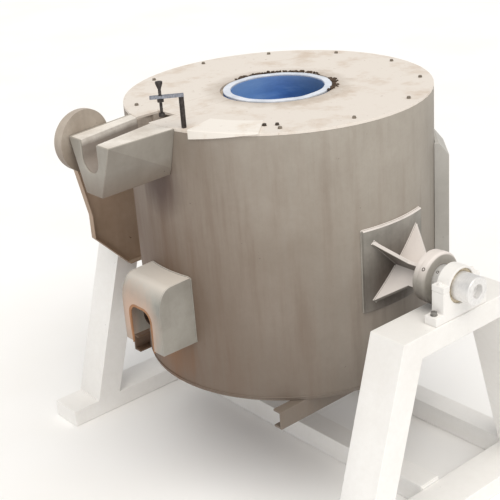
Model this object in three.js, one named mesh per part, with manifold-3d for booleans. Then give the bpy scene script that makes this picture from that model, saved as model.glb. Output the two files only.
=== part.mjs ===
// Tilting melting furnace: a lined steel drum that holds a crucible, hung on two trunnions in a
// floor stand. A spout pours the melt over the front (-Y) when a handwheel on the left (-X)
// turns a gear quadrant. The frame's origin is on the floor, under the drum's axis. Millimetres.
import * as THREE from 'three';
import { mergeVertices } from 'three/addons/utils/BufferGeometryUtils.js';
import Module from 'manifold-3d';

const wasm = await Module();
wasm.setup();

// Driving dimensions of the whole furnace
const drumRadius = 700;
const drumHeight = 1225;
const trunnionBelowTop = 668;
const trunnionHeight = 1150;
const mouthRadius = 213;
const fit = 0.3;
const overrun = 6;
const farOut = 2 * drumRadius;

// Steps round a full circle: large rounds, middling rounds and small rounds
const drumSteps = 72;
const roundSteps = 40;
const smallSteps = 20;
const cornerSteps = 8;
const hexSides = 6;

const drumTop = trunnionBelowTop;
const drumBottom = drumTop - drumHeight;
const quarter = Math.PI / 2;
const quarterTurn = 90;
const halfTurn = 180;
const degrees = THREE.MathUtils.radToDeg;
const radians = THREE.MathUtils.degToRad;

// Finishes
function finish(color, roughness, metalness) {
  return new THREE.MeshStandardMaterial({ color, roughness, metalness });
}
const shellPaint = finish(0x9a9186, 0.55, 0.1);
const deckPaint = finish(0xe8ded2, 0.6, 0.05);
const standPaint = finish(0xe9e8e4, 0.5, 0.1);
const darkIron = finish(0x4a4442, 0.6, 0.7);
const machinedSteel = finish(0xb9bcc0, 0.35, 1.0);
const bronze = finish(0x9c7a43, 0.4, 1.0);
const refractory = finish(0xd8cdbd, 0.95, 0.0);
const insulatingBrick = finish(0xe3d6bf, 0.95, 0.0);
const whiteCement = finish(0xe9eef4, 0.85, 0.0);
const blueGlaze = finish(0x4a73b5, 0.35, 0.0);
const blackRubber = finish(0x24262a, 0.7, 0.0);

// Solids that are cut and joined
function solid(geometry) {
  const bare = geometry.clone();
  bare.deleteAttribute('normal');
  bare.deleteAttribute('uv');
  const merged = mergeVertices(bare);
  return new wasm.Manifold(new wasm.Mesh({
    numProp: 3,
    vertProperties: Float32Array.from(merged.attributes.position.array),
    triVerts: Uint32Array.from(merged.index.array),
  }));
}
function cut(base, ...tools) {
  return tools.reduce((left, tool) => left.subtract(tool), base);
}
function join(first, ...others) {
  return others.reduce((sum, other) => sum.add(other), first);
}
function geometryOf(manifold) {
  const mesh = manifold.getMesh();
  const geometry = new THREE.BufferGeometry();
  geometry.setAttribute('position', new THREE.Float32BufferAttribute(mesh.vertProperties, 3));
  geometry.setIndex(new THREE.Uint32BufferAttribute(mesh.triVerts, 1));
  return geometry;
}
function addPiece(group, name, manifold, material) {
  const mesh = new THREE.Mesh(geometryOf(manifold), material);
  mesh.name = name;
  group.add(mesh);
  return mesh;
}

// Plain solids, each given by its lowest and highest corners or by its ends
function block(low, high) {
  const size = high.map((value, axis) => value - low[axis]);
  const box = new THREE.BoxGeometry(...size);
  box.translate(...low.map((value, axis) => value + size[axis] / 2));
  return solid(box);
}
// A turned solid about the Z axis, from a closed profile of [radius, height] points
function turned(profile, steps) {
  const closed = [...profile, profile[0]];
  const points = closed.map(([radius, height]) => new THREE.Vector2(radius, height));
  const lathe = new THREE.LatheGeometry(points, steps);
  lathe.rotateX(quarter);
  return solid(lathe);
}
function tubeZ(inner, outer, low, high, steps) {
  return turned([[inner, low], [outer, low], [outer, high], [inner, high]], steps);
}
function rodZ(radius, low, high, steps) {
  const rod = new THREE.CylinderGeometry(radius, radius, high - low, steps);
  rod.rotateX(quarter);
  rod.translate(0, 0, (low + high) / 2);
  return solid(rod);
}
function rodX(radius, from, to, steps) {
  return rodZ(radius, from, to, steps).rotate([0, quarterTurn, 0]);
}
// A flat outline of [y, z] points pushed out along X, or of [x, z] points pushed out along -Y
function shapeOf(outline) {
  return new THREE.Shape(outline.map(([across, up]) => new THREE.Vector2(across, up)));
}
function slabX(shape, from, to) {
  const slab = new THREE.ExtrudeGeometry(shape, { depth: to - from, bevelEnabled: false });
  slab.applyMatrix4(new THREE.Matrix4().set(0, 0, 1, from, 1, 0, 0, 0, 0, 1, 0, 0, 0, 0, 0, 1));
  return solid(slab);
}
function slabForward(shape, start, length) {
  const slab = new THREE.ExtrudeGeometry(shape, {
    depth: length,
    bevelEnabled: false,
    curveSegments: cornerSteps,
  });
  slab.rotateX(quarter);
  slab.translate(0, -start, 0);
  return solid(slab);
}

const furnace = new THREE.Group();
const vessel = new THREE.Group();
vessel.position.z = trunnionHeight;
furnace.add(vessel);

// Shell, bottom plate and deck
const shellWall = 10;
const bottomThickness = 16;
const deckThickness = 12;
const deckHoleRadius = 262;
const deckUnderside = drumTop - deckThickness;
const shellTop = deckUnderside - fit;
const floorLevel = drumBottom + bottomThickness;
const outsideDrum = rodZ(drumRadius + fit, drumBottom - farOut, drumTop + farOut, drumSteps);

// Launder: the lined channel that leads from the crucible's lip over the drum to the spout
const channelWidth = 112;
const channelDepth = 100;
const launderOffset = -88;
const launderWidth = 190;
const launderDepth = 165;
const launderTurn = 640;
const noseReach = 1020;
const noseOffset = -5;
const spoutFall = 4.5;

const lipShare = 0.75;

// The channel's section, open upwards, with its top held above the steel by a given rise
function channelShape(rise) {
  const half = channelWidth / 2;
  const shape = new THREE.Shape();
  shape.moveTo(-half, rise);
  shape.lineTo(-half, half - channelDepth);
  shape.absarc(0, half - channelDepth, half, Math.PI, 2 * Math.PI, false);
  shape.lineTo(half, rise);
  shape.closePath();
  return shape;
}
const lipInside = mouthRadius * lipShare;
const deckChannel = slabForward(channelShape(overrun), lipInside, launderTurn - lipInside)
  .translate([launderOffset, 0, drumTop]);
const spoutRun = noseReach - launderTurn;
const spoutYaw = Math.atan2(noseOffset - launderOffset, spoutRun);
const spoutChannel = slabForward(
  channelShape(channelDepth),
  -channelWidth / 2,
  spoutRun + channelWidth,
)
  .rotate([spoutFall, 0, 0])
  .rotate([0, 0, degrees(spoutYaw)])
  .translate([launderOffset, -launderTurn, drumTop]);
const channel = join(deckChannel, spoutChannel);

function launderBlock(clearance, top) {
  const half = launderWidth / 2 + clearance;
  return block(
    [launderOffset - half, -noseReach, drumTop - launderDepth - clearance],
    [launderOffset + half, -mouthRadius, top],
  );
}
const launderPocket = launderBlock(fit, drumTop - deckThickness);

// Burner port, low in the front wall, and flue port, high in the rear wall
const burnerDrop = 850;
const burnerLevel = drumTop - burnerDrop;
const burnerBlockRadius = 95;
const burnerBore = 56;
const fluePortRadius = 60;
const fluePortDrop = 400;
const fluePortLevel = drumTop - fluePortDrop;
const ductBearing = 137;
function frontBore(radius, from, to) {
  const rod = new THREE.CylinderGeometry(radius, radius, to - from, roundSteps);
  rod.translate(0, -(from + to) / 2, burnerLevel);
  return solid(rod);
}
const fluePort = rodX(fluePortRadius, 0, drumRadius + overrun, roundSteps)
  .translate([0, 0, fluePortLevel])
  .rotate([0, 0, ductBearing - quarterTurn]);

const burnerTubeRadius = 45;
const tubeHole = frontBore(burnerTubeRadius + fit, 0, drumRadius + overrun);
const shellHoles = join(launderPocket, tubeHole, fluePort);
addPiece(vessel, 'shell', cut(
  tubeZ(drumRadius - shellWall, drumRadius, floorLevel + fit, shellTop, drumSteps),
  shellHoles,
), shellPaint);
addPiece(vessel, 'bottom_plate', rodZ(drumRadius, drumBottom, floorLevel, drumSteps), shellPaint);

const coverStripIn = 140;
const launderCoverEnd = drumRadius - coverStripIn;
const ledge = 14;
const ledgeGap = 3;
const bankLeft = launderOffset - channelWidth / 2;
const bankRight = launderOffset + channelWidth / 2;
const deckSlot = join(
  block(
    [bankLeft, -drumRadius - overrun, deckUnderside - overrun],
    [bankRight, -mouthRadius, drumTop + overrun],
  ),
  block(
    [bankLeft - ledge, -launderCoverEnd - ledgeGap, deckUnderside - overrun],
    [bankRight + ledge, -mouthRadius, drumTop + overrun],
  ),
);
addPiece(vessel, 'deck_plate', cut(
  tubeZ(deckHoleRadius, drumRadius, deckUnderside, drumTop, drumSteps),
  deckSlot,
), deckPaint);

// Lining: insulating bricks, hot face, floor, cover ring, pedestal and crucible
const floorThickness = 240;
const coverRingThickness = 70;
const pedestalRadius = 170;
const pedestalHeight = 130;
const crucibleWall = 35;
const crucibleOuter = mouthRadius + crucibleWall;
const crucibleFloor = 45;
const ringThickness = 10;
const ringLift = 4;
const liningTop = shellTop - fit;
const insulationOuter = (drumRadius - shellWall) * Math.cos(Math.PI / drumSteps) - fit;
const chamberShare = 0.1406;
const hotFaceShare = 0.39;
const liningRoom = insulationOuter - crucibleOuter;
const hotFaceInner = crucibleOuter + liningRoom * chamberShare;
const hotFaceOuter = crucibleOuter + liningRoom * hotFaceShare;
const ringUnderside = drumTop + ringLift - ringThickness;
const hearth = floorLevel + floorThickness;
const burnerPocket = frontBore(burnerBlockRadius + fit, 0, drumRadius);
const liningCuts = join(launderPocket, burnerPocket, fluePort);

addPiece(vessel, 'insulation', cut(
  tubeZ(hotFaceOuter + fit, insulationOuter, floorLevel + fit, liningTop, roundSteps),
  liningCuts,
), insulatingBrick);
addPiece(vessel, 'hot_face_lining', cut(
  tubeZ(hotFaceInner, hotFaceOuter, floorLevel + fit, liningTop, roundSteps),
  liningCuts,
), refractory);
addPiece(vessel, 'hearth_floor', rodZ(
  hotFaceInner - 2 * fit,
  floorLevel + fit,
  hearth,
  roundSteps,
), refractory);
addPiece(vessel, 'cover_ring', cut(
  tubeZ(
    crucibleOuter + 2 * fit,
    hotFaceInner - 2 * fit,
    liningTop - coverRingThickness,
    liningTop,
    roundSteps,
  ),
  launderPocket,
), refractory);
addPiece(vessel, 'crucible_pedestal', rodZ(
  pedestalRadius,
  hearth + fit,
  hearth + pedestalHeight,
  roundSteps,
), refractory);

const crucibleBottom = hearth + pedestalHeight + fit;
const crucibleTop = ringUnderside - fit;
const bellyHeight = crucibleBottom + crucibleOuter;
const footRadius = pedestalRadius - crucibleWall / 2;
addPiece(vessel, 'crucible', cut(turned([
  [0, crucibleBottom],
  [footRadius, crucibleBottom],
  [crucibleOuter - crucibleWall / 2, bellyHeight - crucibleWall],
  [crucibleOuter, bellyHeight + crucibleWall],
  [crucibleOuter, crucibleTop],
  [mouthRadius, crucibleTop],
  [mouthRadius, bellyHeight + crucibleWall],
  [mouthRadius - crucibleWall / 2, bellyHeight - crucibleWall / 2],
  [footRadius - crucibleWall, crucibleBottom + crucibleFloor],
  [0, crucibleBottom + crucibleFloor],
], roundSteps), deckChannel), blueGlaze);
addPiece(vessel, 'mouth_ring', tubeZ(
  mouthRadius + fit,
  crucibleOuter,
  ringUnderside,
  drumTop + ringLift,
  roundSteps,
), whiteCement);

// Launder trough inside the drum, and the plate that covers it flush with the deck
const launderTop = deckUnderside - fit;
const crucibleClear = rodZ(crucibleOuter + fit, drumBottom, drumTop + overrun, roundSteps);
const insideDrum = rodZ(drumRadius - fit, drumBottom, drumTop + overrun, drumSteps);
addPiece(vessel, 'launder_trough', cut(
  launderBlock(0, launderTop).intersect(insideDrum),
  crucibleClear,
  channel,
), refractory);
addPiece(vessel, 'launder_cover', cut(block(
  [bankLeft - ledge + ledgeGap, -launderCoverEnd, deckUnderside],
  [bankRight + ledge - ledgeGap, -mouthRadius, drumTop],
), rodZ(deckHoleRadius, drumBottom, drumTop + overrun, roundSteps)), deckPaint);

// Spout: a tapered steel casing filled with refractory, with the channel running out of its nose
const casingWall = 8;
const rootInside = 60;
const rootSection = {
  at: drumRadius - rootInside,
  offset: -40,
  topWidth: 348,
  bottomWidth: 256,
  depth: 206,
};
const noseSection = {
  at: noseReach,
  offset: noseOffset,
  topWidth: 287,
  bottomWidth: 118,
  depth: 228,
};
function inset(section, wall, reach) {
  return {
    at: section.at + reach,
    offset: section.offset,
    topWidth: section.topWidth - 2 * wall,
    bottomWidth: section.bottomWidth - 2 * wall,
    depth: section.depth - wall,
  };
}
function taperedBar(root, nose, top) {
  const bar = new THREE.BoxGeometry(1, 1, 1);
  const places = bar.attributes.position;
  for (let i = 0; i < places.count; i += 1) {
    const end = places.getY(i) < 0 ? nose : root;
    const upper = places.getZ(i) > 0;
    const width = upper ? end.topWidth : end.bottomWidth;
    const level = upper ? top : drumTop - end.depth;
    places.setXYZ(i, end.offset + places.getX(i) * width, -end.at, level);
  }
  return solid(bar);
}
const spoutBody = taperedBar(rootSection, noseSection, drumTop);
const spoutHollow = taperedBar(
  inset(rootSection, casingWall, -casingWall),
  inset(noseSection, casingWall, -casingWall),
  drumTop + overrun,
);
const aboveDeck = block([-farOut, -farOut, drumTop - fit], [farOut, farOut, drumTop + farOut]);
const spoutFilling = cut(taperedBar(
  inset(rootSection, casingWall + fit, -casingWall),
  inset(noseSection, casingWall + fit, -casingWall - fit),
  drumTop + overrun,
), aboveDeck);
addPiece(vessel, 'spout_casing', cut(spoutBody, spoutHollow, channel, outsideDrum), shellPaint);
addPiece(vessel, 'spout_lining', cut(spoutFilling, channel, outsideDrum), refractory);

// Round boss on the far cheek of the spout's nose
const bossRadius = 132;
const bossSetBack = 88;
const bossDrop = 45;
const bossEdge = 22;
const bossReach = 212;
const bossInner = 60;
const bossEaseShare = 0.33;
const cheekLean = Math.atan2(
  noseSection.offset - noseSection.topWidth / 2 - rootSection.offset + rootSection.topWidth / 2,
  noseSection.at - rootSection.at,
);
const bossEase = bossEdge * bossEaseShare;
function besideCheek(low, high) {
  return block([0, -farOut, low], [farOut, farOut, high])
    .rotate([0, 0, degrees(cheekLean)])
    .translate([noseSection.offset - noseSection.topWidth / 2, -noseSection.at, 0]);
}
const beyondNose = block([-farOut, -farOut, drumBottom], [farOut, -noseReach, drumTop]);
addPiece(vessel, 'spout_boss', cut(
  turned([
    [0, bossInner],
    [bossRadius, bossInner],
    [bossRadius, bossReach - bossEdge],
    [bossRadius - bossEase, bossReach - bossEase],
    [bossRadius - bossEdge, bossReach],
    [0, bossReach],
  ], roundSteps)
    .rotate([0, -quarterTurn, 0])
    .translate([0, bossSetBack - noseReach, drumTop - bossDrop]),
  taperedBar(inset(rootSection, -fit, 0), inset(noseSection, -fit, fit), drumTop),
  besideCheek(drumTop - fit, drumTop + bossRadius),
  besideCheek(drumBottom, drumTop + bossRadius).intersect(beyondNose),
), shellPaint);

// Cover plate at the deck's front edge, with a lip that hangs down over the shell
const plateWidth = 160;
const plateInner = drumRadius - plateWidth;
const plateThickness = 6;
const plateFrom = 17;
const plateTo = 42;
const lipDrop = 34;
const lipProud = 3;
const sectorSteps = 4;
function sector(from, to, low, high) {
  const outline = [[0, 0]];
  for (let step = 0; step <= sectorSteps; step += 1) {
    const angle = radians(from + (to - from) * step / sectorSteps);
    outline.push([farOut * Math.sin(angle), -farOut * Math.cos(angle)]);
  }
  const slab = new THREE.ExtrudeGeometry(shapeOf(outline), {
    depth: high - low,
    bevelEnabled: false,
  });
  slab.translate(0, 0, low);
  return solid(slab);
}
const lipOuter = drumRadius + lipProud + plateThickness;
const plateTop = drumTop + fit + plateThickness;
const lipLean = Math.atan2(lipDrop, drumRadius * radians(plateTo - plateFrom));
const plateRing = turned([
  [plateInner, drumTop + fit],
  [drumRadius + lipProud, drumTop + fit],
  [drumRadius + lipProud, drumTop - lipDrop],
  [lipOuter, drumTop - lipDrop],
  [lipOuter, plateTop],
  [plateInner, plateTop],
], drumSteps);
const belowDeck = block([-farOut, -farOut, -farOut], [farOut, farOut, drumTop]);
const lipTrim = block([0, -farOut, -farOut], [farOut, farOut, -lipDrop])
  .rotate([0, -degrees(lipLean), 0])
  .translate([0, 0, drumTop])
  .rotate([0, 0, plateFrom])
  .intersect(belowDeck);
addPiece(vessel, 'cover_plate', cut(
  plateRing.intersect(sector(plateFrom, plateTo, drumBottom, plateTop + overrun)),
  lipTrim,
), deckPaint);

// Screw clamp over the spout's near bank: post, arm, nut, screw and pad
const postX = 157;
const postIn = 45;
const postY = postIn - drumRadius;
const postSide = 16;
const postHeight = 132;
const armLength = 128;
const armWidth = 22;
const armThickness = 12;
const armYaw = -35;
const screwShare = 0.66;
const screwRadius = 7;
const screwPlay = 0.6;
const screwLength = 140;
const screwPinShare = 0.6;
const screwBelow = 70;
const screwHead = 15;
const padRadius = 13;
const padThickness = 10;
const nutAcross = 26;
const nutThickness = 14;
addPiece(vessel, 'clamp_post', block(
  [postX - postSide / 2, postY - postSide / 2, drumTop + fit],
  [postX + postSide / 2, postY + postSide / 2, drumTop + postHeight],
), darkIron);
const armTurn = radians(armYaw);
const screwOut = armLength * screwShare;
const screwX = postX + screwOut * Math.sin(armTurn);
const screwY = postY - screwOut * Math.cos(armTurn);
const armLow = drumTop + postHeight + fit;
const armTop = armLow + armThickness;
const screwHole = rodZ(screwRadius + screwPlay, drumTop, armTop + overrun, smallSteps)
  .translate([screwX, screwY, 0]);
addPiece(vessel, 'clamp_arm', cut(
  block([-armWidth / 2, -armLength, armLow], [armWidth / 2, armWidth / 2, armTop])
    .rotate([0, 0, armYaw])
    .translate([postX, postY, 0]),
  screwHole,
), machinedSteel);
const nutCorner = nutAcross / 2 / Math.cos(Math.PI / hexSides);
addPiece(vessel, 'clamp_nut', cut(
  rodZ(nutCorner, armLow - fit - nutThickness, armLow - fit, hexSides)
    .translate([screwX, screwY, 0]),
  screwHole,
), darkIron);
const screwTip = armLow - screwBelow;
const clamp = new THREE.Group();
clamp.position.set(screwX, screwY, screwTip);
vessel.add(clamp);
addPiece(clamp, 'clamp_screw', join(
  rodZ(screwRadius, padThickness / 2, screwLength, smallSteps),
  rodX(screwRadius * screwPinShare, -screwHead, screwHead, smallSteps)
    .translate([0, 0, screwLength - screwRadius]),
  turned([
    [0, screwLength - 2 * screwHead],
    [screwRadius, screwLength - 2 * screwHead],
    [screwHead, screwLength - screwRadius],
    [screwHead, screwLength],
    [0, screwLength],
  ], smallSteps),
), darkIron);
addPiece(clamp, 'clamp_pad', cut(
  rodZ(padRadius, -padThickness / 2, padThickness, smallSteps),
  rodZ(screwRadius + screwPlay, padThickness / 2 - fit, padThickness + overrun, smallSteps),
), darkIron);

// Trunnions: a curved saddle on the shell, four ribs in an X, a hub, a collar and a shaft
const saddleWidth = 360;
const saddleAbove = 196;
const saddleBelow = 184;
const saddleThickness = 16;
const ribThickness = 16;
const ribReach = 198;
const ribWaist = 80;
const ribFlare = 130;
const ribDepth = 200;
const ribTurn = 45;
const hubRadius = 112;
const hubLength = 24;
const hubInner = drumRadius + ribDepth;
const hubOuter = hubInner + hubLength;
const collarRadius = 114;
const collarLength = 36;
const collarChamfer = 9;
const collarOuter = hubOuter + collarLength;
const bearingGap = 44;
const bearingLength = 65;
const bearingInner = collarOuter + bearingGap;
const bearingOuter = bearingInner + bearingLength;
const bearingInset = 6;
const frameOuter = bearingOuter + bearingInset;
const flangeInner = frameOuter + fit;
const flangeThickness = 26;
const gearGap = 10.7;
const gearWidth = 46;
const quadrantInner = flangeInner + flangeThickness + gearGap;
const shaftRadius = 62;
const shaftBore = 30;
const shaftPastBearing = 81;
const shaftPastGear = 20;
const shaftEndRight = bearingOuter + shaftPastBearing;
const shaftEndLeft = quadrantInner + gearWidth + shaftPastGear;
const saddleOuter = drumRadius + fit + saddleThickness;
const ribStart = saddleOuter - saddleThickness;
const ribWaistAt = drumRadius + ribFlare;
const ribEnd = hubInner - fit;
const hubBore = rodX(shaftRadius + fit, 0, farOut, roundSteps);

function trunnion(side, turn, shaftEnd) {
  const group = new THREE.Group();
  group.rotation.z = turn;
  vessel.add(group);
  addPiece(group, `trunnion_saddle_${side}`, cut(
    block([0, -saddleWidth / 2, -saddleBelow], [farOut, saddleWidth / 2, saddleAbove])
      .intersect(rodZ(saddleOuter, -farOut, farOut, drumSteps)),
    outsideDrum,
  ), shellPaint);
  const ribOutline = shapeOf([
    [-ribReach, 0], [-ribReach, ribStart], [-ribWaist, ribWaistAt], [-ribWaist, ribEnd],
    [ribWaist, ribEnd], [ribWaist, ribWaistAt], [ribReach, ribStart], [ribReach, 0],
  ]);
  const ribSlab = new THREE.ExtrudeGeometry(ribOutline, {
    depth: ribThickness,
    bevelEnabled: false,
  });
  ribSlab.translate(0, 0, -ribThickness / 2);
  ribSlab.applyMatrix4(new THREE.Matrix4().set(0, 1, 0, 0, 0, 0, 1, 0, 1, 0, 0, 0, 0, 0, 0, 1));
  const rib = solid(ribSlab);
  addPiece(group, `trunnion_ribs_${side}`, cut(
    join(rib.rotate([ribTurn, 0, 0]), rib.rotate([-ribTurn, 0, 0])),
    rodZ(saddleOuter + fit, -farOut, farOut, drumSteps),
  ), shellPaint);
  addPiece(group, `trunnion_hub_${side}`, cut(
    rodX(hubRadius, hubInner, hubOuter, roundSteps),
    hubBore,
  ), shellPaint);
  addPiece(group, `trunnion_collar_${side}`, cut(
    turned([
      [0, hubOuter + fit],
      [collarRadius, hubOuter + fit],
      [collarRadius, collarOuter - collarChamfer],
      [collarRadius - collarChamfer, collarOuter],
      [0, collarOuter],
    ], roundSteps).rotate([0, quarterTurn, 0]),
    hubBore,
  ), shellPaint);
  addPiece(group, `trunnion_shaft_${side}`, cut(
    rodX(shaftRadius, hubInner, shaftEnd, roundSteps),
    rodX(shaftBore, shaftEnd - shaftBore, shaftEnd + overrun, smallSteps),
  ), machinedSteel);
}
trunnion('right', 0, shaftEndRight);
trunnion('left', Math.PI, shaftEndLeft);

// Burner hood: two cheeks, a bent sheet with an arch in its front, burner block and tube
const hoodHalfWidth = 140;
const cheekThickness = 6;
const sheetThickness = 5;
const hoodAbove = 183;
const hoodBelow = 135;
const roofReach = 95;
const shoulderReach = 168;
const footReach = 168;
const hoodTop = burnerLevel + hoodAbove;
const hoodBottom = burnerLevel - hoodBelow;
const hoodRoof = drumRadius + roofReach;
const hoodShoulder = drumRadius + shoulderReach;
const hoodFoot = drumRadius + footReach;
const hoodRoofDrop = 8;
const hoodBend = 120;
const archHalfWidth = 74;
const archAbove = 47;
const archTop = burnerLevel + archAbove;
const archCorner = 48;
const archOffset = -12;
const bendSteps = 8;
const hoodBackShare = 0.9;
function hoodProfile(offset, back) {
  const points = [[-back, hoodTop - offset]];
  const bendLevel = hoodTop - hoodRoofDrop - hoodBend;
  const bendRoom = hoodShoulder - hoodRoof - offset;
  for (let step = 0; step <= bendSteps; step += 1) {
    const angle = quarter * step / bendSteps;
    points.push([
      -hoodRoof - bendRoom * Math.sin(angle),
      bendLevel + (hoodBend - offset) * Math.cos(angle),
    ]);
  }
  points.push([offset - hoodFoot, hoodBottom]);
  return points;
}
const hoodBack = drumRadius * hoodBackShare;
const hoodOuterProfile = hoodProfile(0, hoodBack);
const hoodInnerProfile = hoodProfile(sheetThickness, hoodBack);
const sheetOutline = shapeOf([...hoodOuterProfile, ...hoodInnerProfile.reverse()]);
const archRight = archOffset + archHalfWidth;
const archLeft = archOffset - archHalfWidth;
const archSpring = archTop - archCorner;
const archShape = new THREE.Shape();
archShape.moveTo(archLeft, hoodBottom - overrun);
archShape.lineTo(archRight, hoodBottom - overrun);
archShape.lineTo(archRight, archSpring);
archShape.absarc(archRight - archCorner, archSpring, archCorner, 0, quarter, false);
archShape.absarc(archLeft + archCorner, archSpring, archCorner, quarter, Math.PI, false);
archShape.closePath();
addPiece(vessel, 'hood_sheet', cut(
  slabX(sheetOutline, -hoodHalfWidth + cheekThickness + fit, hoodHalfWidth - cheekThickness - fit),
  slabForward(archShape, hoodRoof, drumRadius),
  outsideDrum,
), shellPaint);
const cheekOutline = shapeOf([...hoodOuterProfile, [-hoodBack, hoodBottom]]);
addPiece(vessel, 'hood_cheek_right', cut(
  slabX(cheekOutline, hoodHalfWidth - cheekThickness, hoodHalfWidth),
  outsideDrum,
), shellPaint);
addPiece(vessel, 'hood_cheek_left', cut(
  slabX(cheekOutline, -hoodHalfWidth, cheekThickness - hoodHalfWidth),
  outsideDrum,
), shellPaint);

const burnerWall = 5;
const burnerTubeOut = 128;
const burnerFlangeRadius = 66;
const burnerFlange = 10;
const burnerRecess = 8;
addPiece(vessel, 'burner_block', cut(
  frontBore(burnerBlockRadius, hotFaceInner + overrun, insulationOuter - burnerRecess),
  frontBore(burnerBore, 0, drumRadius),
), refractory);
addPiece(vessel, 'burner_tube', cut(
  join(
    frontBore(burnerTubeRadius, hotFaceOuter, drumRadius + burnerTubeOut),
    frontBore(burnerFlangeRadius, drumRadius + burnerFlange, drumRadius + 2 * burnerFlange),
  ),
  frontBore(burnerTubeRadius - burnerWall, 0, farOut),
), darkIron);

// Flue duct: a tall narrow box with a sloping top on the rear of the shell, open at its foot
const ductWidth = 230;
const ductDepth = 58;
const ductWall = 5;
const ductAbove = 128;
const ductBelow = 460;
const ductSlope = 55;
const ductTop = fluePortLevel + ductAbove;
const ductShoulder = ductTop - ductSlope;
const ductFoot = fluePortLevel - ductBelow;
const ductBackShare = 0.9;
const ductBack = drumRadius * ductBackShare;
function ductBox(wall, foot) {
  const outline = shapeOf([
    [ductBack, foot],
    [drumRadius + ductDepth - wall, foot],
    [drumRadius + ductDepth - wall, ductShoulder - wall],
    [drumRadius + ductDepth / 4, ductTop - wall],
    [ductBack, ductTop - wall],
  ]);
  return slabX(outline, wall - ductWidth / 2, ductWidth / 2 - wall);
}
addPiece(vessel, 'flue_duct', cut(
  ductBox(0, ductFoot),
  ductBox(ductWall, ductFoot - overrun),
  outsideDrum.rotate([0, 0, halfTurn - ductBearing]),
).rotate([0, 0, ductBearing - halfTurn]), shellPaint);

// Two channel beams under the drum, with their flanges turned inwards
const beamIn = 148;
const beamEndIn = 122;
const beamWeb = drumRadius - beamIn;
const beamFlange = 48;
const beamHeight = 88;
const beamPlate = 10;
const beamHalfLength = drumRadius - beamEndIn;
for (const [side, sign] of [['right', 1], ['left', -1]]) {
  const outline = shapeOf([
    [0, 0], [beamFlange, 0], [beamFlange, beamPlate], [beamPlate, beamPlate],
    [beamPlate, beamHeight - beamPlate], [beamFlange, beamHeight - beamPlate],
    [beamFlange, beamHeight], [0, beamHeight],
  ]);
  const beam = slabForward(outline, -beamHalfLength, 2 * beamHalfLength)
    .rotate([0, 0, sign > 0 ? halfTurn : 0])
    .translate([sign * beamWeb, 0, drumBottom - fit - beamHeight]);
  addPiece(vessel, `base_channel_${side}`, beam, shellPaint);
}

// Floor stand: a welded frame on each side, box sections all through, and two cross beams
const frameWidth = 188;
const frameInner = frameOuter - frameWidth;
const bearingCentre = 132;
const topBeamHalf = 356;
const topBeamHeight = 104;
const topBeamTop = trunnionHeight - bearingCentre;
const topBeamLow = topBeamTop - topBeamHeight;
const legThickness = 138;
const legSlope = 0.3;
const sillHeight = 90;
const sillHalf = 790;
const boxWall = 10;
const crossHeight = 110;
const crossWidth = 120;
const crossRear = 560;
function legOutline(inward, low, high) {
  const front = topBeamHalf - inward;
  const rear = topBeamHalf - legThickness + inward;
  const lowOut = legSlope * (topBeamTop - low);
  const highOut = legSlope * (topBeamTop - high);
  return shapeOf([
    [-front - highOut, high],
    [-front - lowOut, low],
    [-rear - lowOut, low],
    [-rear - highOut, high],
  ]);
}
function weldFrame() {
  const leg = slabX(legOutline(0, 0, topBeamTop), frameInner, frameOuter);
  const hollowOutline = legOutline(boxWall, -overrun, topBeamTop - boxWall);
  const legHollow = slabX(hollowOutline, frameInner + boxWall, frameOuter - boxWall);
  const beam = block([frameInner, -topBeamHalf, topBeamLow], [frameOuter, topBeamHalf, topBeamTop]);
  const beamHollow = block(
    [frameInner + boxWall, boxWall - topBeamHalf, topBeamLow + boxWall],
    [frameOuter - boxWall, topBeamHalf - boxWall, topBeamTop - boxWall],
  );
  const sill = block([frameInner, -sillHalf, 0], [frameOuter, sillHalf, sillHeight]);
  const across = [frameInner + frameOuter, 0, 0];
  const turnedLeg = leg.rotate([0, 0, halfTurn]).translate(across);
  const turnedHollow = legHollow.rotate([0, 0, halfTurn]).translate(across);
  return cut(join(leg, turnedLeg, beam, sill), beamHollow, legHollow, turnedHollow);
}
const weldedFrame = weldFrame();
addPiece(furnace, 'side_frame_right', weldedFrame, standPaint);
addPiece(furnace, 'side_frame_left', weldedFrame.rotate([0, 0, halfTurn]), standPaint);
for (const [name, at] of [['cross_beam_centre', 0], ['cross_beam_rear', crossRear]]) {
  const outer = block(
    [fit - frameInner, at - crossWidth / 2, 0],
    [frameInner - fit, at + crossWidth / 2, crossHeight],
  );
  const inner = block(
    [-frameOuter, at + boxWall - crossWidth / 2, boxWall],
    [frameOuter, at - boxWall + crossWidth / 2, crossHeight - boxWall],
  );
  addPiece(furnace, name, cut(outer, inner), standPaint);
}

// Bearings: a housing on each top beam, a cap, a bronze bush and their bolts
const bushWall = 13;
const bushInset = 7;
const bushOuter = shaftRadius + fit + bushWall;
const capRadius = 86;
const housingHalf = 160;
const housingFoot = 38;
const capEar = 28;
const earHalf = 114;
function bearing(side, turn) {
  const group = new THREE.Group();
  group.position.z = trunnionHeight;
  group.rotation.z = turn;
  furnace.add(group);
  const seat = rodX(bushOuter + fit, 0, farOut, roundSteps);
  const low = fit - bearingCentre;
  addPiece(group, `bearing_housing_${side}`, cut(join(
    block([bearingInner, -housingHalf, low], [bearingOuter, housingHalf, low + housingFoot]),
    block([bearingInner, -earHalf, low], [bearingOuter, earHalf, 0]),
  ), seat), standPaint);
  addPiece(group, `bearing_cap_${side}`, cut(
    join(
      rodX(capRadius, bearingInner, bearingOuter, roundSteps),
      block([bearingInner, -earHalf, 0], [bearingOuter, earHalf, capEar]),
    ),
    seat,
    block([0, -farOut, -farOut], [farOut, farOut, fit]),
  ), standPaint);
  addPiece(group, `bearing_bush_${side}`, cut(
    rodX(bushOuter, bearingInner + bushInset, bearingOuter - bushInset, roundSteps),
    rodX(shaftRadius + fit, 0, farOut, roundSteps),
  ), bronze);
}
bearing('right', 0);
bearing('left', Math.PI);
const fixed = new THREE.Group();
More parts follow.
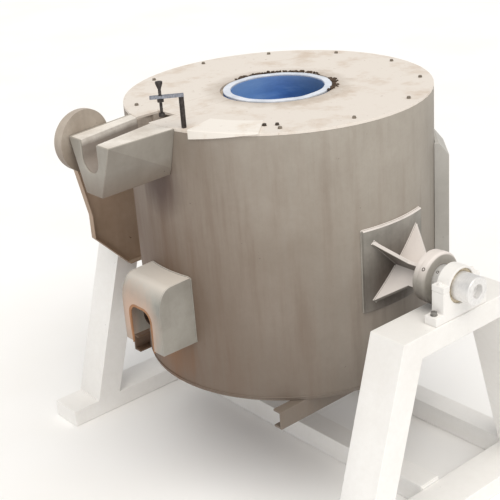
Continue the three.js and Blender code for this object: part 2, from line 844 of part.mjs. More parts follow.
fixed.position.z = trunnionHeight;
furnace.add(fixed);

// Tilting drive on the left: a toothed quadrant on the trunnion shaft and, behind it, a pinion
const toothModule = 12;
const quadrantTeeth = 48;
const pinionTeeth = 12;
const pressureAngle = radians(25);
const addendumShare = 0.8;
const dedendumShare = 1.05;
const backlash = 1.2;
const flankSteps = 4;
const quadrantHub = 96;
const pinionBelow = 36.25;
const centreDistance = toothModule * (quadrantTeeth + pinionTeeth) / 2;
function involute(angle) {
  return Math.tan(angle) - angle;
}
function around(radius, angle) {
  return [radius * Math.cos(angle), radius * Math.sin(angle)];
}
// One tooth's outline about a bearing angle, from its right root to its left root
function toothPoints(teeth, about) {
  const pitchRadius = toothModule * teeth / 2;
  const baseRadius = pitchRadius * Math.cos(pressureAngle);
  const tipRadius = pitchRadius + addendumShare * toothModule;
  const rootRadius = pitchRadius - dedendumShare * toothModule;
  const halfAtPitch = Math.PI / (2 * teeth) - backlash / (4 * pitchRadius);
  const startRadius = Math.max(baseRadius, rootRadius);
  const flank = [];
  for (let step = 0; step <= flankSteps; step += 1) {
    const radius = startRadius + (tipRadius - startRadius) * step / flankSteps;
    const lean = Math.acos(Math.min(1, baseRadius / radius));
    flank.push([radius, halfAtPitch + involute(pressureAngle) - involute(lean)]);
  }
  if (rootRadius < startRadius) flank.unshift([rootRadius, flank[0][1]]);
  const rising = flank.map(([radius, half]) => around(radius, about - half));
  const falling = [...flank].reverse().map(([radius, half]) => around(radius, about + half));
  return [...rising, ...falling];
}
function arcPoints(radius, from, to, steps) {
  const points = [];
  for (let step = 0; step <= steps; step += 1) {
    points.push(around(radius, from + (to - from) * step / steps));
  }
  return points;
}
const toothPitch = 2 * Math.PI / quadrantTeeth;
const contactAngle = -radians(pinionBelow);
const teethBefore = 13;
const teethAfter = 1;
const hubSteps = 12;
const windowSteps = 6;
const quadrantOutline = [];
for (let tooth = -teethBefore; tooth <= teethAfter; tooth += 1) {
  quadrantOutline.push(...toothPoints(quadrantTeeth, contactAngle + tooth * toothPitch));
}
const quadrantEdge = contactAngle + toothPitch / 2 + teethAfter * toothPitch;
quadrantOutline.push(...arcPoints(quadrantHub, quadrantEdge, quadrantEdge + Math.PI, hubSteps));
const quadrantLeft = -quadrantInner - gearWidth;
const quadrantBlank = slabX(shapeOf(quadrantOutline), quadrantLeft, -quadrantInner);
const windowInner = 140;
const windowOuter = 230;
const windowHalf = radians(16);
const windowTeeth = [-2, -6, -10];
const windows = windowTeeth.map((tooth) => {
  const middle = contactAngle + tooth * toothPitch;
  const outline = shapeOf([
    ...arcPoints(windowOuter, middle - windowHalf, middle + windowHalf, windowSteps),
    ...arcPoints(windowInner, middle + windowHalf, middle - windowHalf, windowSteps),
  ]);
  return slabX(outline, quadrantLeft - overrun, overrun - quadrantInner);
});
addPiece(vessel, 'tilt_quadrant', cut(
  quadrantBlank,
  rodX(shaftRadius + fit, -farOut, 0, roundSteps),
  ...windows,
), darkIron);

const drive = new THREE.Group();
const pinionY = centreDistance * Math.cos(contactAngle);
const pinionZ = centreDistance * Math.sin(contactAngle);
drive.position.set(0, pinionY, trunnionHeight + pinionZ);
furnace.add(drive);
const pinionShaftRadius = 24;
const pinionMeshAngle = contactAngle + Math.PI + Math.PI / pinionTeeth;
const pinionOutline = [];
for (let tooth = 0; tooth < pinionTeeth; tooth += 1) {
  const turn = tooth * 2 * Math.PI / pinionTeeth;
  pinionOutline.push(...toothPoints(pinionTeeth, pinionMeshAngle + turn));
}
const pinionGap = 3;
const runningFit = 0.6;
const pinionBore = rodX(pinionShaftRadius + fit, -farOut, 0, smallSteps);
const runningBore = rodX(pinionShaftRadius + runningFit, -farOut, 0, roundSteps);
addPiece(drive, 'drive_pinion', cut(
  slabX(shapeOf(pinionOutline), quadrantLeft - pinionGap, pinionGap - quadrantInner),
  pinionBore,
), darkIron);

const guardGap = 9;
const guardWall = 5;
const guardOuter = shaftEndLeft + guardGap + guardWall;
const wheelGap = 14;
const wheelHubHalf = 20;
const wheelPlane = guardOuter + 2 * guardWall + wheelGap + wheelHubHalf;
const flangeSide = 112;
addPiece(drive, 'pinion_shaft', rodX(
  pinionShaftRadius,
  -wheelPlane - wheelHubHalf - 2 * overrun,
  -flangeInner - fit,
  smallSteps,
), machinedSteel);
addPiece(drive, 'pinion_bearing', cut(
  block(
    [-flangeInner - flangeThickness, -flangeSide / 2, -flangeSide / 2],
    [-flangeInner, flangeSide / 2, flangeSide / 2],
  ),
  runningBore,
), darkIron);

// Guard over the gears: a sheet cup that is open towards the stand
const guardFront = 240;
const guardTop = 280;
const guardRear = 398;
const guardLow = 325;
const guardCorner = 120;
const guardFoot = 100;
const guardNotch = 245;
function guardOutline(wall) {
  const front = guardFront - wall;
  const top = guardTop - wall;
  const rear = guardRear - wall;
  const low = guardLow - wall;
  return shapeOf([
    [-front, top - guardCorner],
    [-front, guardFoot - low],
    [guardFoot - front, -low],
    [guardRear + guardNotch - guardLow, -low],
    [rear, -guardNotch],
    [rear, top - guardCorner],
    [rear - guardCorner, top],
    [guardCorner - front, top],
  ]);
}
const guardBush = 34;
const guard = cut(
  slabX(guardOutline(0), -guardOuter, -flangeInner),
  slabX(guardOutline(guardWall), guardWall - guardOuter, overrun - flangeInner),
  rodX(guardBush + fit, -farOut, 0, smallSteps).translate([0, pinionY, pinionZ]),
);
addPiece(fixed, 'gear_guard', guard, shellPaint);
addPiece(drive, 'guard_bush', cut(
  rodX(guardBush, -guardOuter - 2 * guardWall, 2 * guardWall - guardOuter, smallSteps),
  runningBore,
), bronze);

// Splash shield: a shallow sheet tray on the left frame, between the drum and the bearing
const shieldWall = 6;
const shieldDepth = 36;
const shieldUpperFront = 600;
const shieldFront = 543;
const shieldTop = 270;
const shieldBend = 10;
const shieldCorner = 135;
const shieldLow = 338;
const shieldToe = 350;
const shieldHeel = 252;
const shieldStep = 234;
const shieldRear = 150;
function shieldOutline(wall) {
  return shapeOf([
    [wall - shieldUpperFront, shieldTop - wall],
    [wall - shieldFront, -shieldBend],
    [wall - shieldFront, -shieldCorner],
    [-shieldToe, wall - shieldLow],
    [-shieldHeel - wall, wall - shieldLow],
    [-shieldHeel - wall, wall - shieldStep],
    [-shieldRear - wall, wall - shieldStep],
    [-shieldRear - wall, shieldTop - wall],
  ]);
}
const shieldBack = frameInner - fit;
addPiece(fixed, 'splash_shield', cut(
  slabX(shieldOutline(0), -shieldBack, shieldDepth - shieldBack),
  slabX(shieldOutline(shieldWall), shieldWall - shieldBack, shieldDepth + overrun - shieldBack),
), shellPaint);

// Handwheel with a spinning grip
const wheelRadius = 240;
const wheelRim = 14;
const wheelHub = 46;
const spokeRadius = 10;
const spokes = 5;
const gripRadius = 17;
const gripLength = 110;
const gripPin = 8;
const gripEndShare = 0.8;
const pinHeadShare = 1.6;
const pinHeadStart = wheelRim + gripLength + overrun;
const rim = new THREE.TorusGeometry(wheelRadius, wheelRim, cornerSteps, roundSteps);
rim.rotateY(quarter);
const wheelParts = [
  solid(rim),
  rodX(wheelHub, -wheelHubHalf, wheelHubHalf, smallSteps),
  rodX(gripPin, -pinHeadStart, 0, smallSteps).translate([0, 0, wheelRadius]),
  rodX(gripPin * pinHeadShare, -pinHeadStart - overrun, -pinHeadStart, smallSteps)
    .translate([0, 0, wheelRadius]),
];
for (let spoke = 0; spoke < spokes; spoke += 1) {
  const turn = spoke * 2 * halfTurn / spokes;
  wheelParts.push(rodZ(spokeRadius, wheelHub / 2, wheelRadius, cornerSteps).rotate([turn, 0, 0]));
}
addPiece(drive, 'handwheel', cut(
  join(...wheelParts),
  rodX(pinionShaftRadius + fit, -farOut, farOut, smallSteps),
).translate([-wheelPlane, 0, 0]), darkIron);
addPiece(drive, 'handwheel_grip', turned([
  [gripPin + fit, wheelRim + fit],
  [gripRadius * gripEndShare, wheelRim + fit],
  [gripRadius, wheelRim + gripLength / 2],
  [gripRadius * gripEndShare, wheelRim + gripLength],
  [gripPin + fit, wheelRim + gripLength],
], smallSteps)
  .rotate([0, -quarterTurn, 0])
  .translate([-wheelPlane, 0, wheelRadius]), blackRubber);

export default furnace;
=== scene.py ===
import bmesh
import bpy
import math
import numpy as np
from mathutils import Matrix, Vector


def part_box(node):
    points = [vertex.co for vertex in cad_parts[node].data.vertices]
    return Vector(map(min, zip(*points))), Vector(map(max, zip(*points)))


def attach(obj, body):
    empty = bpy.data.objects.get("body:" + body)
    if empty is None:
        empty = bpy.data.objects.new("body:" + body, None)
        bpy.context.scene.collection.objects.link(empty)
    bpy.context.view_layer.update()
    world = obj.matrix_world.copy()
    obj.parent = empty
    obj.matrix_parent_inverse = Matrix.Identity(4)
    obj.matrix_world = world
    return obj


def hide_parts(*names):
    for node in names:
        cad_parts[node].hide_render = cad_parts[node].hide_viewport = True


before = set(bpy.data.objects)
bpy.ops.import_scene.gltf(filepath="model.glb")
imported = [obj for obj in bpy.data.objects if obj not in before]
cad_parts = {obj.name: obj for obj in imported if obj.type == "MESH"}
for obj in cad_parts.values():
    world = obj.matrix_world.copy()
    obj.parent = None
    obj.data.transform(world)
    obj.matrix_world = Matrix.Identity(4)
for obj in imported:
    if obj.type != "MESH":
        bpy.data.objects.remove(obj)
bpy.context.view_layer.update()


# Floor stand: a welded frame under each trunnion and two cross beams between them. Each is cut
# from rectangular steel tube with rounded corners, joined by fillet welds and painted off-white.
def linear(shade):
    """Turns a hex sRGB colour into linear red, green, blue and alpha."""
    parts = [int(shade[i:i + 2], 16) / 255 for i in (0, 2, 4)]
    return (*[c / 12.92 if c <= 0.04045 else ((c + 0.055) / 1.055) ** 2.4 for c in parts], 1.0)


def add_node(tree, kind, inputs=None, stops=None, **settings):
    """Adds a node with its settings, its colour stops, and a value or a (node, output) link per input.

    A Map Range takes its from-range at inputs 1 and 2 and its to-range at 3 and 4. A Mix of colours takes
    its share at input 0 and the colours under and over at 6 and 7, and gives the result at output 2.
    """
    node = tree.nodes.new(kind)
    for setting, value in settings.items():
        setattr(node, setting, value)
    for socket, value in (inputs or {}).items():
        if isinstance(value, tuple) and isinstance(value[0], bpy.types.Node):
            tree.links.new(value[0].outputs[value[1]], node.inputs[socket])
        else:
            node.inputs[socket].default_value = value
    for place, (position, shade) in enumerate(stops or []):
        ramp = node.color_ramp.elements
        stop = ramp[place] if place < 2 else ramp.new(position)
        stop.position = position
        stop.color = linear(shade)
    return node


def new_finish(name, patterns, roughness=0.5, specular=0.5):
    """A new material, its node tree, its Object coordinates, and a noise per (scale, detail, roughness)."""
    material = bpy.data.materials.new(name)
    material.use_nodes = True
    tree = material.node_tree
    shader = tree.nodes["Principled BSDF"]
    shader.inputs["Roughness"].default_value = roughness
    shader.inputs["Specular IOR Level"].default_value = specular
    where = (add_node(tree, "ShaderNodeTexCoord"), "Object")
    noises = [add_node(tree, "ShaderNodeTexNoise", {
        "Vector": where, "Scale": scale, "Detail": detail, "Roughness": rough})
        for scale, detail, rough in patterns]
    return material, tree, where, *noises


def finished(material, base, coats, bumps, gloss=None):
    """Lays coats over a base colour and bumps over each other, and links them to the material's shader.

    A coat is a mask and a hex colour. A bump is a height, its strength and its depth in metres, which is
    negative for a dent. Gloss is a node that gives the roughness.
    """
    tree = material.node_tree
    colour = (base, 0)
    for mask, shade in coats:
        colour = (add_node(tree, "ShaderNodeMix", {
            0: (mask, 0), 6: colour, 7: linear(shade)}, data_type="RGBA"), 2)
    ends = {"Base Color": colour}
    if gloss:
        ends["Roughness"] = (gloss, 0)
    for height, strength, depth in bumps:
        inputs = {"Height": (height, 0), "Strength": strength, "Distance": abs(depth)}
        if "Normal" in ends:
            inputs["Normal"] = ends["Normal"]
        ends["Normal"] = (add_node(tree, "ShaderNodeBump", inputs, invert=depth < 0), 0)
    for socket, (node, output) in ends.items():
        tree.links.new(node.outputs[output], tree.nodes["Principled BSDF"].inputs[socket])
    return material


def alkyd_enamel(name, fresh, faded, grime, bare_and_shade, roughness=0.5, patch=1.4, streak="8a8a8a", dust_and_top_light="b8b0a4",
                 settle=(0.55, 0.97, 0.33), under=0.0, heat_and_shade_spots=(), low=None):
    """Alkyd enamel brushed on steel: broad fading, grime that runs down, small chips, orange peel.

    Faces that look up are dusted with a pale colour, which on some pieces is a painted highlight from above,
    and faces that look down darken towards the chip colour, which is painted shade. Each spot is a place, a
    reach in metres, a colour and its strength: some are scorch stains in the paint and others are painted
    shade. Low darkens the paint towards the bottom, from its top level down to its darkest level. Runs are
    about 55 mm wide and 0.6 m long, mottling 26 mm and orange peel 5 mm, which is as fine as shows.
    """
    material, tree, where, broad, mottle, flecks, peel = new_finish(
        name, [(patch, 4.0, 0.6), (38.0, 6.0, 0.7), (21.0, 8.0, 0.75), (190.0, 2.0, 0.5)], roughness, 0.4)
    tone = add_node(tree, "ShaderNodeValToRGB", {"Fac": (broad, "Fac")}, [(0.36, faded), (0.62, fresh)])
    stretch = add_node(tree, "ShaderNodeMapping", {"Vector": where, "Scale": (12.0, 12.0, 1.1)})
    runs = add_node(tree, "ShaderNodeTexNoise", {
        "Vector": (stretch, "Vector"), "Scale": 1.5, "Detail": 5.0, "Roughness": 0.62})
    run_mask = add_node(tree, "ShaderNodeValToRGB", {"Fac": (runs, "Fac")},
                        [(0.5, "000000"), (0.78, streak)])
    mottle_mask = add_node(tree, "ShaderNodeValToRGB", {"Fac": (mottle, "Fac")},
                           [(0.3, "5c5c5c"), (0.62, "000000")])
    surface = add_node(tree, "ShaderNodeNewGeometry")
    up = add_node(tree, "ShaderNodeSeparateXYZ", {"Vector": (surface, "Normal")})
    lying = add_node(tree, "ShaderNodeMapRange", {
        "Value": (up, "Z"), 1: settle[0], 2: settle[1], 3: 0.0, 4: settle[2]})
    coats = [(run_mask, grime), (mottle_mask, grime), (lying, dust_and_top_light)]
    if under:
        hanging = add_node(tree, "ShaderNodeMapRange", {
            "Value": (up, "Z"), 1: -0.75, 2: 0.1, 3: under, 4: 0.0})
        coats.append((hanging, bare_and_shade))
    if low:
        darkest_level, fade_top_level, low_colour, most = low
        height = add_node(tree, "ShaderNodeSeparateXYZ", {"Vector": where})
        falling = add_node(tree, "ShaderNodeMapRange", {
            "Value": (height, "Z"), 1: darkest_level, 2: fade_top_level, 3: most, 4: 0.0})
        coats.append((falling, low_colour))
    # Some spots are scorch stains and some are painted shade; baked holds the spot's colour in either case.
    for place, reach, baked, most in heat_and_shade_spots:
        away = add_node(tree, "ShaderNodeVectorMath", {0: where, 1: place}, operation="DISTANCE")
        ragged = add_node(tree, "ShaderNodeMath", {
            0: (runs, "Fac"), 1: reach * 0.6, 2: (away, "Value")}, operation="MULTIPLY_ADD")
        near = add_node(tree, "ShaderNodeMapRange", {
            "Value": (ragged, 0), 1: reach * 0.55, 2: reach * 1.3, 3: most, 4: 0.0})
        coats.append((near, baked))
    fleck_mask = add_node(tree, "ShaderNodeValToRGB", {"Fac": (flecks, "Fac")},
                          [(0.685, "000000"), (0.7, "ffffff")])
    coats.append((fleck_mask, bare_and_shade))
    return finished(material, tone, coats,
                    [(peel, 0.12, 0.002), (broad, 0.25, 0.02), (fleck_mask, 0.3, -0.0008)])


def in_scene(name, data):
    """A new object of the scene with some data."""
    thing = bpy.data.objects.new(name, data)
    bpy.context.scene.collection.objects.link(thing)
    return thing


def finish_piece(piece, material, body, node, sharp):
    piece.data.materials.clear()
    piece.data.materials.append(material)
    piece.data.shade_smooth()
    piece.data.set_sharp_from_angle(angle=math.radians(sharp))
    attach(piece, body)
    if node:
        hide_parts(node)


def softened(node, made, edge, material, body, sharp=32, hard=True):
    """A copy of a solid with its flat faces joined up and each sharp edge rounded by a small radius.

    The piece is named for the solid and for how it is made. Its flat faces are shaded flat, or, with hard
    off, blended over the slight creases of a bent plate.
    """
    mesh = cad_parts[node].data.copy()
    mesh.name = f"{node}_{made}"
    shape = bmesh.new()
    shape.from_mesh(mesh)
    bmesh.ops.remove_doubles(shape, verts=shape.verts, dist=0.00002)
    bmesh.ops.dissolve_limit(shape, angle_limit=math.radians(0.5), verts=shape.verts, edges=shape.edges)
    shape.to_mesh(mesh)
    shape.free()
    piece = in_scene(mesh.name, mesh)
    bevel = piece.modifiers.new("rounded_edges", "BEVEL")
    bevel.width = edge
    bevel.segments = 2
    bevel.limit_method = "ANGLE"
    bevel.angle_limit = math.radians(sharp)
    bevel.harden_normals = hard
    finish_piece(piece, material, body, node, sharp)


def new_piece(name, shell, material, body, node=None, sharp=32):
    """Makes a closed mesh from arrays of points and faces, with doubled points merged and faces outwards."""
    points, faces = shell
    mesh = bpy.data.meshes.new(name)
    mesh.from_pydata(points.tolist(), [], faces.tolist())
    shape = bmesh.new()
    shape.from_mesh(mesh)
    bmesh.ops.remove_doubles(shape, verts=shape.verts, dist=0.000002)
    bmesh.ops.recalc_face_normals(shape, faces=shape.faces)
    shape.to_mesh(mesh)
    shape.free()
    finish_piece(in_scene(name, mesh), material, body, node, sharp)


def gridded(points):
    """A grid of points and its four-sided faces. It closes on itself both ways, or its ends meet in poles."""
    rows, columns = points.shape[:2]
    row, column = np.meshgrid(np.arange(rows), np.arange(columns), indexing="ij")
    next_row = (row + 1) % rows
    next_column = (column + 1) % columns
    corners = [row * columns + column, next_row * columns + column,
               next_row * columns + next_column, row * columns + next_column]
    return points.reshape(-1, 3), np.stack(corners, axis=-1).reshape(-1, 4)


def joined(shells):
    """Joins the points and the faces of several shells into one."""
    starts = np.cumsum([0] + [len(points) for points, _ in shells[:-1]])
    faces = [quads + start for (_, quads), start in zip(shells, starts)]
    return np.concatenate([points for points, _ in shells]), np.concatenate(faces)


def around_circle(count):
    """Angles evenly spaced round a full turn, the last one short of the first."""
    return np.linspace(0, 2 * np.pi, count, endpoint=False)


def bead_along(path, size, ripple=0.006, around=8):
    """A weld bead: a tube of radius size * (1 + 0.16 sin(2 pi s / ripple)) at distance s on a path."""
    path = np.asarray(path, float)
    steps = np.linalg.norm(np.diff(path, axis=0), axis=1)
    reached = np.concatenate([[0.0], np.cumsum(steps)])
    count = max(6, int(reached[-1] / (ripple / 2.5)))
    along = np.linspace(0, reached[-1], count)
    centre = np.stack([np.interp(along, reached, path[:, k]) for k in range(3)], axis=1)
    forward = np.gradient(centre, axis=0)
    forward /= np.linalg.norm(forward, axis=1)[:, None]
    helper = np.where(np.abs(forward[:, 2:3]) > 0.9, [[1.0, 0.0, 0.0]], [[0.0, 0.0, 1.0]])
    side = np.cross(forward, helper)
    side /= np.linalg.norm(side, axis=1)[:, None]
    rise = np.cross(side, forward)
    turn = around_circle(around)
    swell = size * (1 + 0.16 * np.sin(2 * np.pi * along / ripple))
    swell[[0, -1]] = 0.0
    ring = side[:, None] * np.cos(turn)[None, :, None] + rise[:, None] * np.sin(turn)[None, :, None]
    return gridded(centre[:, None] + ring * swell[:, None, None])


def welded(name, paths, size, material, body):
    """Joins the beads along several paths into one piece."""
    new_piece(name, joined([bead_along(path, size) for path in paths]), material, body, sharp=60)


stand_enamel = alkyd_enamel("stand_alkyd_enamel", "fbfaf8", "f3f1ee", "d2cdc5", "a9a59f", 0.45,
                            streak="4a4a4a", dust_and_top_light="f4f2ee")
sides = (("right", 1), ("left", -1))
frame_corner = 0.008
beam_corner = 0.004
beam_weld = 0.0065
beam_weld_level = 0.0955
beam_weld_inset = 0.002
for side, _ in sides:
    softened(f"side_frame_{side}", "tube", frame_corner, stand_enamel, "stand")
beam_end_paths = []
for node in ("cross_beam_centre", "cross_beam_rear"):
    softened(node, "tube", beam_corner, stand_enamel, "stand")
    beam_low, beam_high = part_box(node)
    beam_end_paths += [[(x, y, beam_weld_level)
                        for y in (beam_low[1] + beam_weld_inset, beam_high[1] - beam_weld_inset)]
                       for x in (beam_low[0], beam_high[0])]
welded("beam_end_welds", beam_end_paths, beam_weld, stand_enamel, "stand")

stand_weld = 0.006
frame_low, frame_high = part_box("side_frame_right")
sill_top = 0.09
leg_slope = 0.3
leg_front_top = 0.356
leg_depth = 0.138
head_depth = 0.104
for side, sign in sides:
    near, far = sorted((sign * frame_low[0], sign * frame_high[0]))
    paths = []
    for forward in (-1, 1):
        for set_back, level in ((0.0, sill_top), (leg_depth, sill_top),
                                (leg_depth, frame_high[2] - head_depth)):
            out = forward * (leg_front_top - set_back + leg_slope * (frame_high[2] - level))
            paths.append([(near + stand_weld, out, level), (far - stand_weld, out, level)])
    welded(f"stand_welds_{side}", paths, stand_weld, stand_enamel, "stand")


# Trunnion bearings: a cast housing and cap on each side frame, split at the shaft's level, with
# a turned bronze bush between them. Hex bolts hold the cap down and the housing to the frame.
def filleted(corners, radius, steps=4):
    """Rounds a closed outline: each corner C gives (1-t)^2 A + 2t(1-t) C + t^2 B, A and B a radius away."""
    corners = np.asarray(corners, float)
    t = np.linspace(0, 1, steps)[:, None]
    outline = []
    for back, corner, ahead in zip(np.roll(corners, 1, 0), corners, np.roll(corners, -1, 0)):
        if corner[0] < 1e-9:
            outline.append(corner[None])
            continue
        reach = [min(radius, np.linalg.norm(end - corner) / 2) for end in (back, ahead)]
        a = corner + (back - corner) / np.linalg.norm(back - corner) * reach[0]
        b = corner + (ahead - corner) / np.linalg.norm(ahead - corner) * reach[1]
        outline.append((1 - t) ** 2 * a + 2 * t * (1 - t) * corner + t ** 2 * b)
    return np.concatenate(outline)


def sleeve(bore, radius, length):
    """The outline of a plain tube, or of a disc where its bore is nothing."""
    return [(bore, 0.0), (radius, 0.0), (radius, length), (bore, length)]


def ring_about(axis, angle):
    """Unit directions u cos a + v sin a at angles a, with u and v square to an axis."""
    u = np.cross(axis, [0.0, 0.0, 1.0]) if abs(axis[2]) < 0.9 else np.array([1.0, 0.0, 0.0])
    return np.cos(angle)[:, None] * u + np.sin(angle)[:, None] * np.cross(axis, u)


def turned_shell(outline, steps, base, axis):
    """Turns a closed [radius, height] outline about an axis: base + height * axis + radius * direction."""
    ring = ring_about(axis, around_circle(steps))
    return gridded(np.asarray(base) + outline[:, 1, None, None] * np.asarray(axis, float)
                   + outline[:, 0, None, None] * ring[None])


def turned(node, corners, edge, steps, base, axis, material, body, name=None):
    """A turned piece from the corners of its [radius, height] outline, each rounded by a small radius.

    It is named for the node that it stands for, unless it has a name of its own.
    """
    shell = turned_shell(filleted(corners, edge), steps, base, axis)
    new_piece(name or f"{node}_turned", shell, material, body, node, sharp=40)


def worked_metal(name, light, dark, roughness, grain, stretch=(1.0, 1.0, 1.0), metallic=1.0, spots="6e655c"):
    """Bare metal: tool marks stretched one way, duller patches and a little staining.

    The marks are 11 to 20 mm wide, coarser than real ones so that they show, and the patches 42 mm.
    """
    material, tree, where, patches = new_finish(name, [(24.0, 5.0, 0.65)])
    tree.nodes["Principled BSDF"].inputs["Metallic"].default_value = metallic
    along = add_node(tree, "ShaderNodeMapping", {"Vector": where, "Scale": stretch})
    marks = add_node(tree, "ShaderNodeTexNoise", {
        "Vector": (along, "Vector"), "Scale": grain, "Detail": 4.0, "Roughness": 0.6})
    tone = add_node(tree, "ShaderNodeValToRGB", {"Fac": (marks, "Fac")}, [(0.35, dark), (0.65, light)])
    stain = add_node(tree, "ShaderNodeValToRGB", {"Fac": (patches, "Fac")},
                     [(0.52, "000000"), (0.75, "8a8a8a")])
    gloss = add_node(tree, "ShaderNodeMapRange", {
        "Value": (patches, "Fac"), 1: 0.3, 2: 0.7, 3: roughness - 0.1, 4: roughness + 0.15})
    return finished(material, tone, [(stain, spots)], [(marks, 0.35, 0.0006)], gloss)


washer_share = 0.62
cap_share = 0.46
flat_share = 0.82


def bolt_shell(place, axis, sizes, turn):
    """A hex head on a washer: radius across / 2 / cos(wrapped angle) for the head, round for the washer."""
    across, height, washer = sizes
    angle = around_circle(24)
    wrapped = (angle + turn) % (np.pi / 3) - np.pi / 6
    flat = across / 2 / np.cos(wrapped)
    disc = np.full_like(angle, across * washer_share)
    cap = np.full_like(angle, across * cap_share)
    top = washer + height
    rows = [(0 * disc, 0.0), (disc, 0.0), (disc, washer), (flat, washer),
            (flat, washer + height * flat_share), (cap, top), (0 * disc, top)]
    ring = ring_about(axis, angle)
    return gridded(np.stack([np.asarray(place) + np.asarray(axis, float) * rise + ring * radius[:, None]
                             for radius, rise in rows]))


def bolted(name, places, axis, sizes, material, body):
    """Joins the hex bolts at several places into one piece, each head turned a little differently.

    Their sizes are the head's width across flats, its height, and the washer's thickness.
    """
    bolts = [bolt_shell(place, axis, sizes, 0.7 * number) for number, place in enumerate(places)]
    new_piece(name, joined(bolts), material, body, sharp=28)


upward = (0.0, 0.0, 1.0)
rightward = (1.0, 0.0, 0.0)
bush_bronze = worked_metal("turned_tin_bronze", "cfc3ad", "a99d88", 0.38, 60.0, (6.0, 1.0, 1.0))
zinc_steel = worked_metal("zinc_plated_steel", "a9a7a2", "7d7b78", 0.42, 90.0)
trunnion_level = 1.15
bush_bore = 0.0623
bush_radius = 0.0753
ear_rise = 0.028
ear_bolt_y = 0.1
foot_seat = 1.0183
foot_thickness = 0.038
foot_bolt_y = 0.137
for side, _ in sides:
    for part, edge in (("housing", 0.004), ("cap", 0.003)):
        softened(f"bearing_{part}_{side}", "casting", edge, stand_enamel, "stand", 40)
    bush_low, bush_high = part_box(f"bearing_bush_{side}")
    turned(f"bearing_bush_{side}", sleeve(bush_bore, bush_radius, bush_high[0] - bush_low[0]), 0.0015, 64,
           (bush_low[0], 0.0, trunnion_level), rightward, bush_bronze, "stand")
    cap_low, cap_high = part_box(f"bearing_cap_{side}")
    cap_middle = (cap_low[0] + cap_high[0]) / 2
    for part, y, top, sizes, material, slot in (
            ("cap", ear_bolt_y, trunnion_level + ear_rise, (0.018, 0.011, 0.002), stand_enamel,
             "stand_paint"),
            ("foot", foot_bolt_y, foot_seat + foot_thickness, (0.024, 0.014, 0.003), zinc_steel,
             "machined_steel")):
        bolted(f"bearing_{part}_bolts_{side}", [(cap_middle, -y, top), (cap_middle, y, top)], upward, sizes,
               material, "stand")


# Drum shell: steel plate rolled to a tube and butt-welded down the rear, notched at its top for the
# launder. It was never quite round, so it dips by a millimetre between its seams.
# The shell's spots are a brown painted shade over the drum's left side, a painted shadow under the spout, a
# painted shadow right of and below the right trunnion and painted shade on the drum's right edge; the one at
# the hood's foot is an orange scorch stain. Faces that look down carry painted shade.
shell_enamel = alkyd_enamel(
    "shell_alkyd_enamel", "b2aba1", "9e968b", "6f655a", "4a3a30", 0.55, patch=1.1, streak="747474",
    dust_and_top_light="a8a298", under=0.35, low=(0.6, 1.4, "4a4038", 0.6),
    heat_and_shade_spots=(((-0.55, -0.55, 1.0), 1.5, "644a36", 0.9), ((0.0, -0.7, 1.56), 0.18, "47302a", 0.75),
          ((-0.06, -0.7, 0.76), 0.2, "8a5f3a", 0.6), ((0.69, 0.15, 0.78), 0.42, "453b33", 0.5),
          ((0.4, 0.66, 1.4), 0.6, "5b554d", 0.55)))
drum_radius = 0.7
drum_top = 1.818
shell_wall = 0.01
shell_bottom = 0.6093
shell_top = 1.8057
shell_dip = 0.0012
notch_floor = 1.6527
notch_from = math.asin(-0.1833 / drum_radius)
notch_to = math.asin(0.0073 / drum_radius)
notch_step = 0.00002


def shell_surface(columns=288, rows=40):
    """Radius less dip * sin^2(5a) sin(pi h) at bearing a and height share h, cut down at the notch."""
    bearing = np.linspace(-np.pi, np.pi, columns, endpoint=False)
    edges = [notch_from - notch_step, notch_from + notch_step, notch_to - notch_step, notch_to + notch_step]
    bearing = np.sort(np.concatenate([bearing, edges]))
    in_notch = (bearing > notch_from) & (bearing < notch_to)
    top = np.where(in_notch, notch_floor, shell_top)
    share = np.linspace(0, 1, rows)[:, None]
    height = shell_bottom + (top - shell_bottom) * share
    outer = drum_radius - shell_dip * np.sin(5 * bearing) ** 2 * np.sin(np.pi * share)
    inner = np.full_like(outer, drum_radius - shell_wall)
    radius = np.concatenate([outer, inner[::-1]])
    level = np.concatenate([height, height[::-1]])
    return gridded(np.stack([radius * np.sin(bearing), -radius * np.cos(bearing), level], axis=-1))


new_piece("shell_rolled", shell_surface(), shell_enamel, "vessel", "shell")
seam_weld = 0.004
seam_depth = 0.001
seam_inset = 0.01
seam_levels = np.linspace(shell_bottom + seam_inset, shell_top - seam_inset, 40)
welded("shell_seam", [[(0.0, drum_radius - seam_depth, level) for level in seam_levels]], seam_weld,
       shell_enamel, "vessel")


# Bottom plate and base channels: a flat disc that closes the drum, standing on two rolled steel
# channels with their flanges turned in, so that the vessel can be set down off its stand.
plate_low, plate_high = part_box("bottom_plate")
turned("bottom_plate", sleeve(0.0, drum_radius, plate_high[2] - plate_low[2]), 0.003, 288,
       (0.0, 0.0, plate_low[2]), upward, shell_enamel, "vessel", "bottom_plate_disc")
rim_weld = 0.003
rim_radius = drum_radius + 0.0005
rim_turn = np.linspace(0, 2 * np.pi, 145)
rim_path = np.stack([rim_radius * np.cos(rim_turn), rim_radius * np.sin(rim_turn),
                     0 * rim_turn + plate_high[2]], axis=1)
welded("bottom_rim_weld", [rim_path], rim_weld, shell_enamel, "vessel")
for side, _ in sides:
    softened(f"base_channel_{side}", "rolled", 0.003, shell_enamel, "vessel")


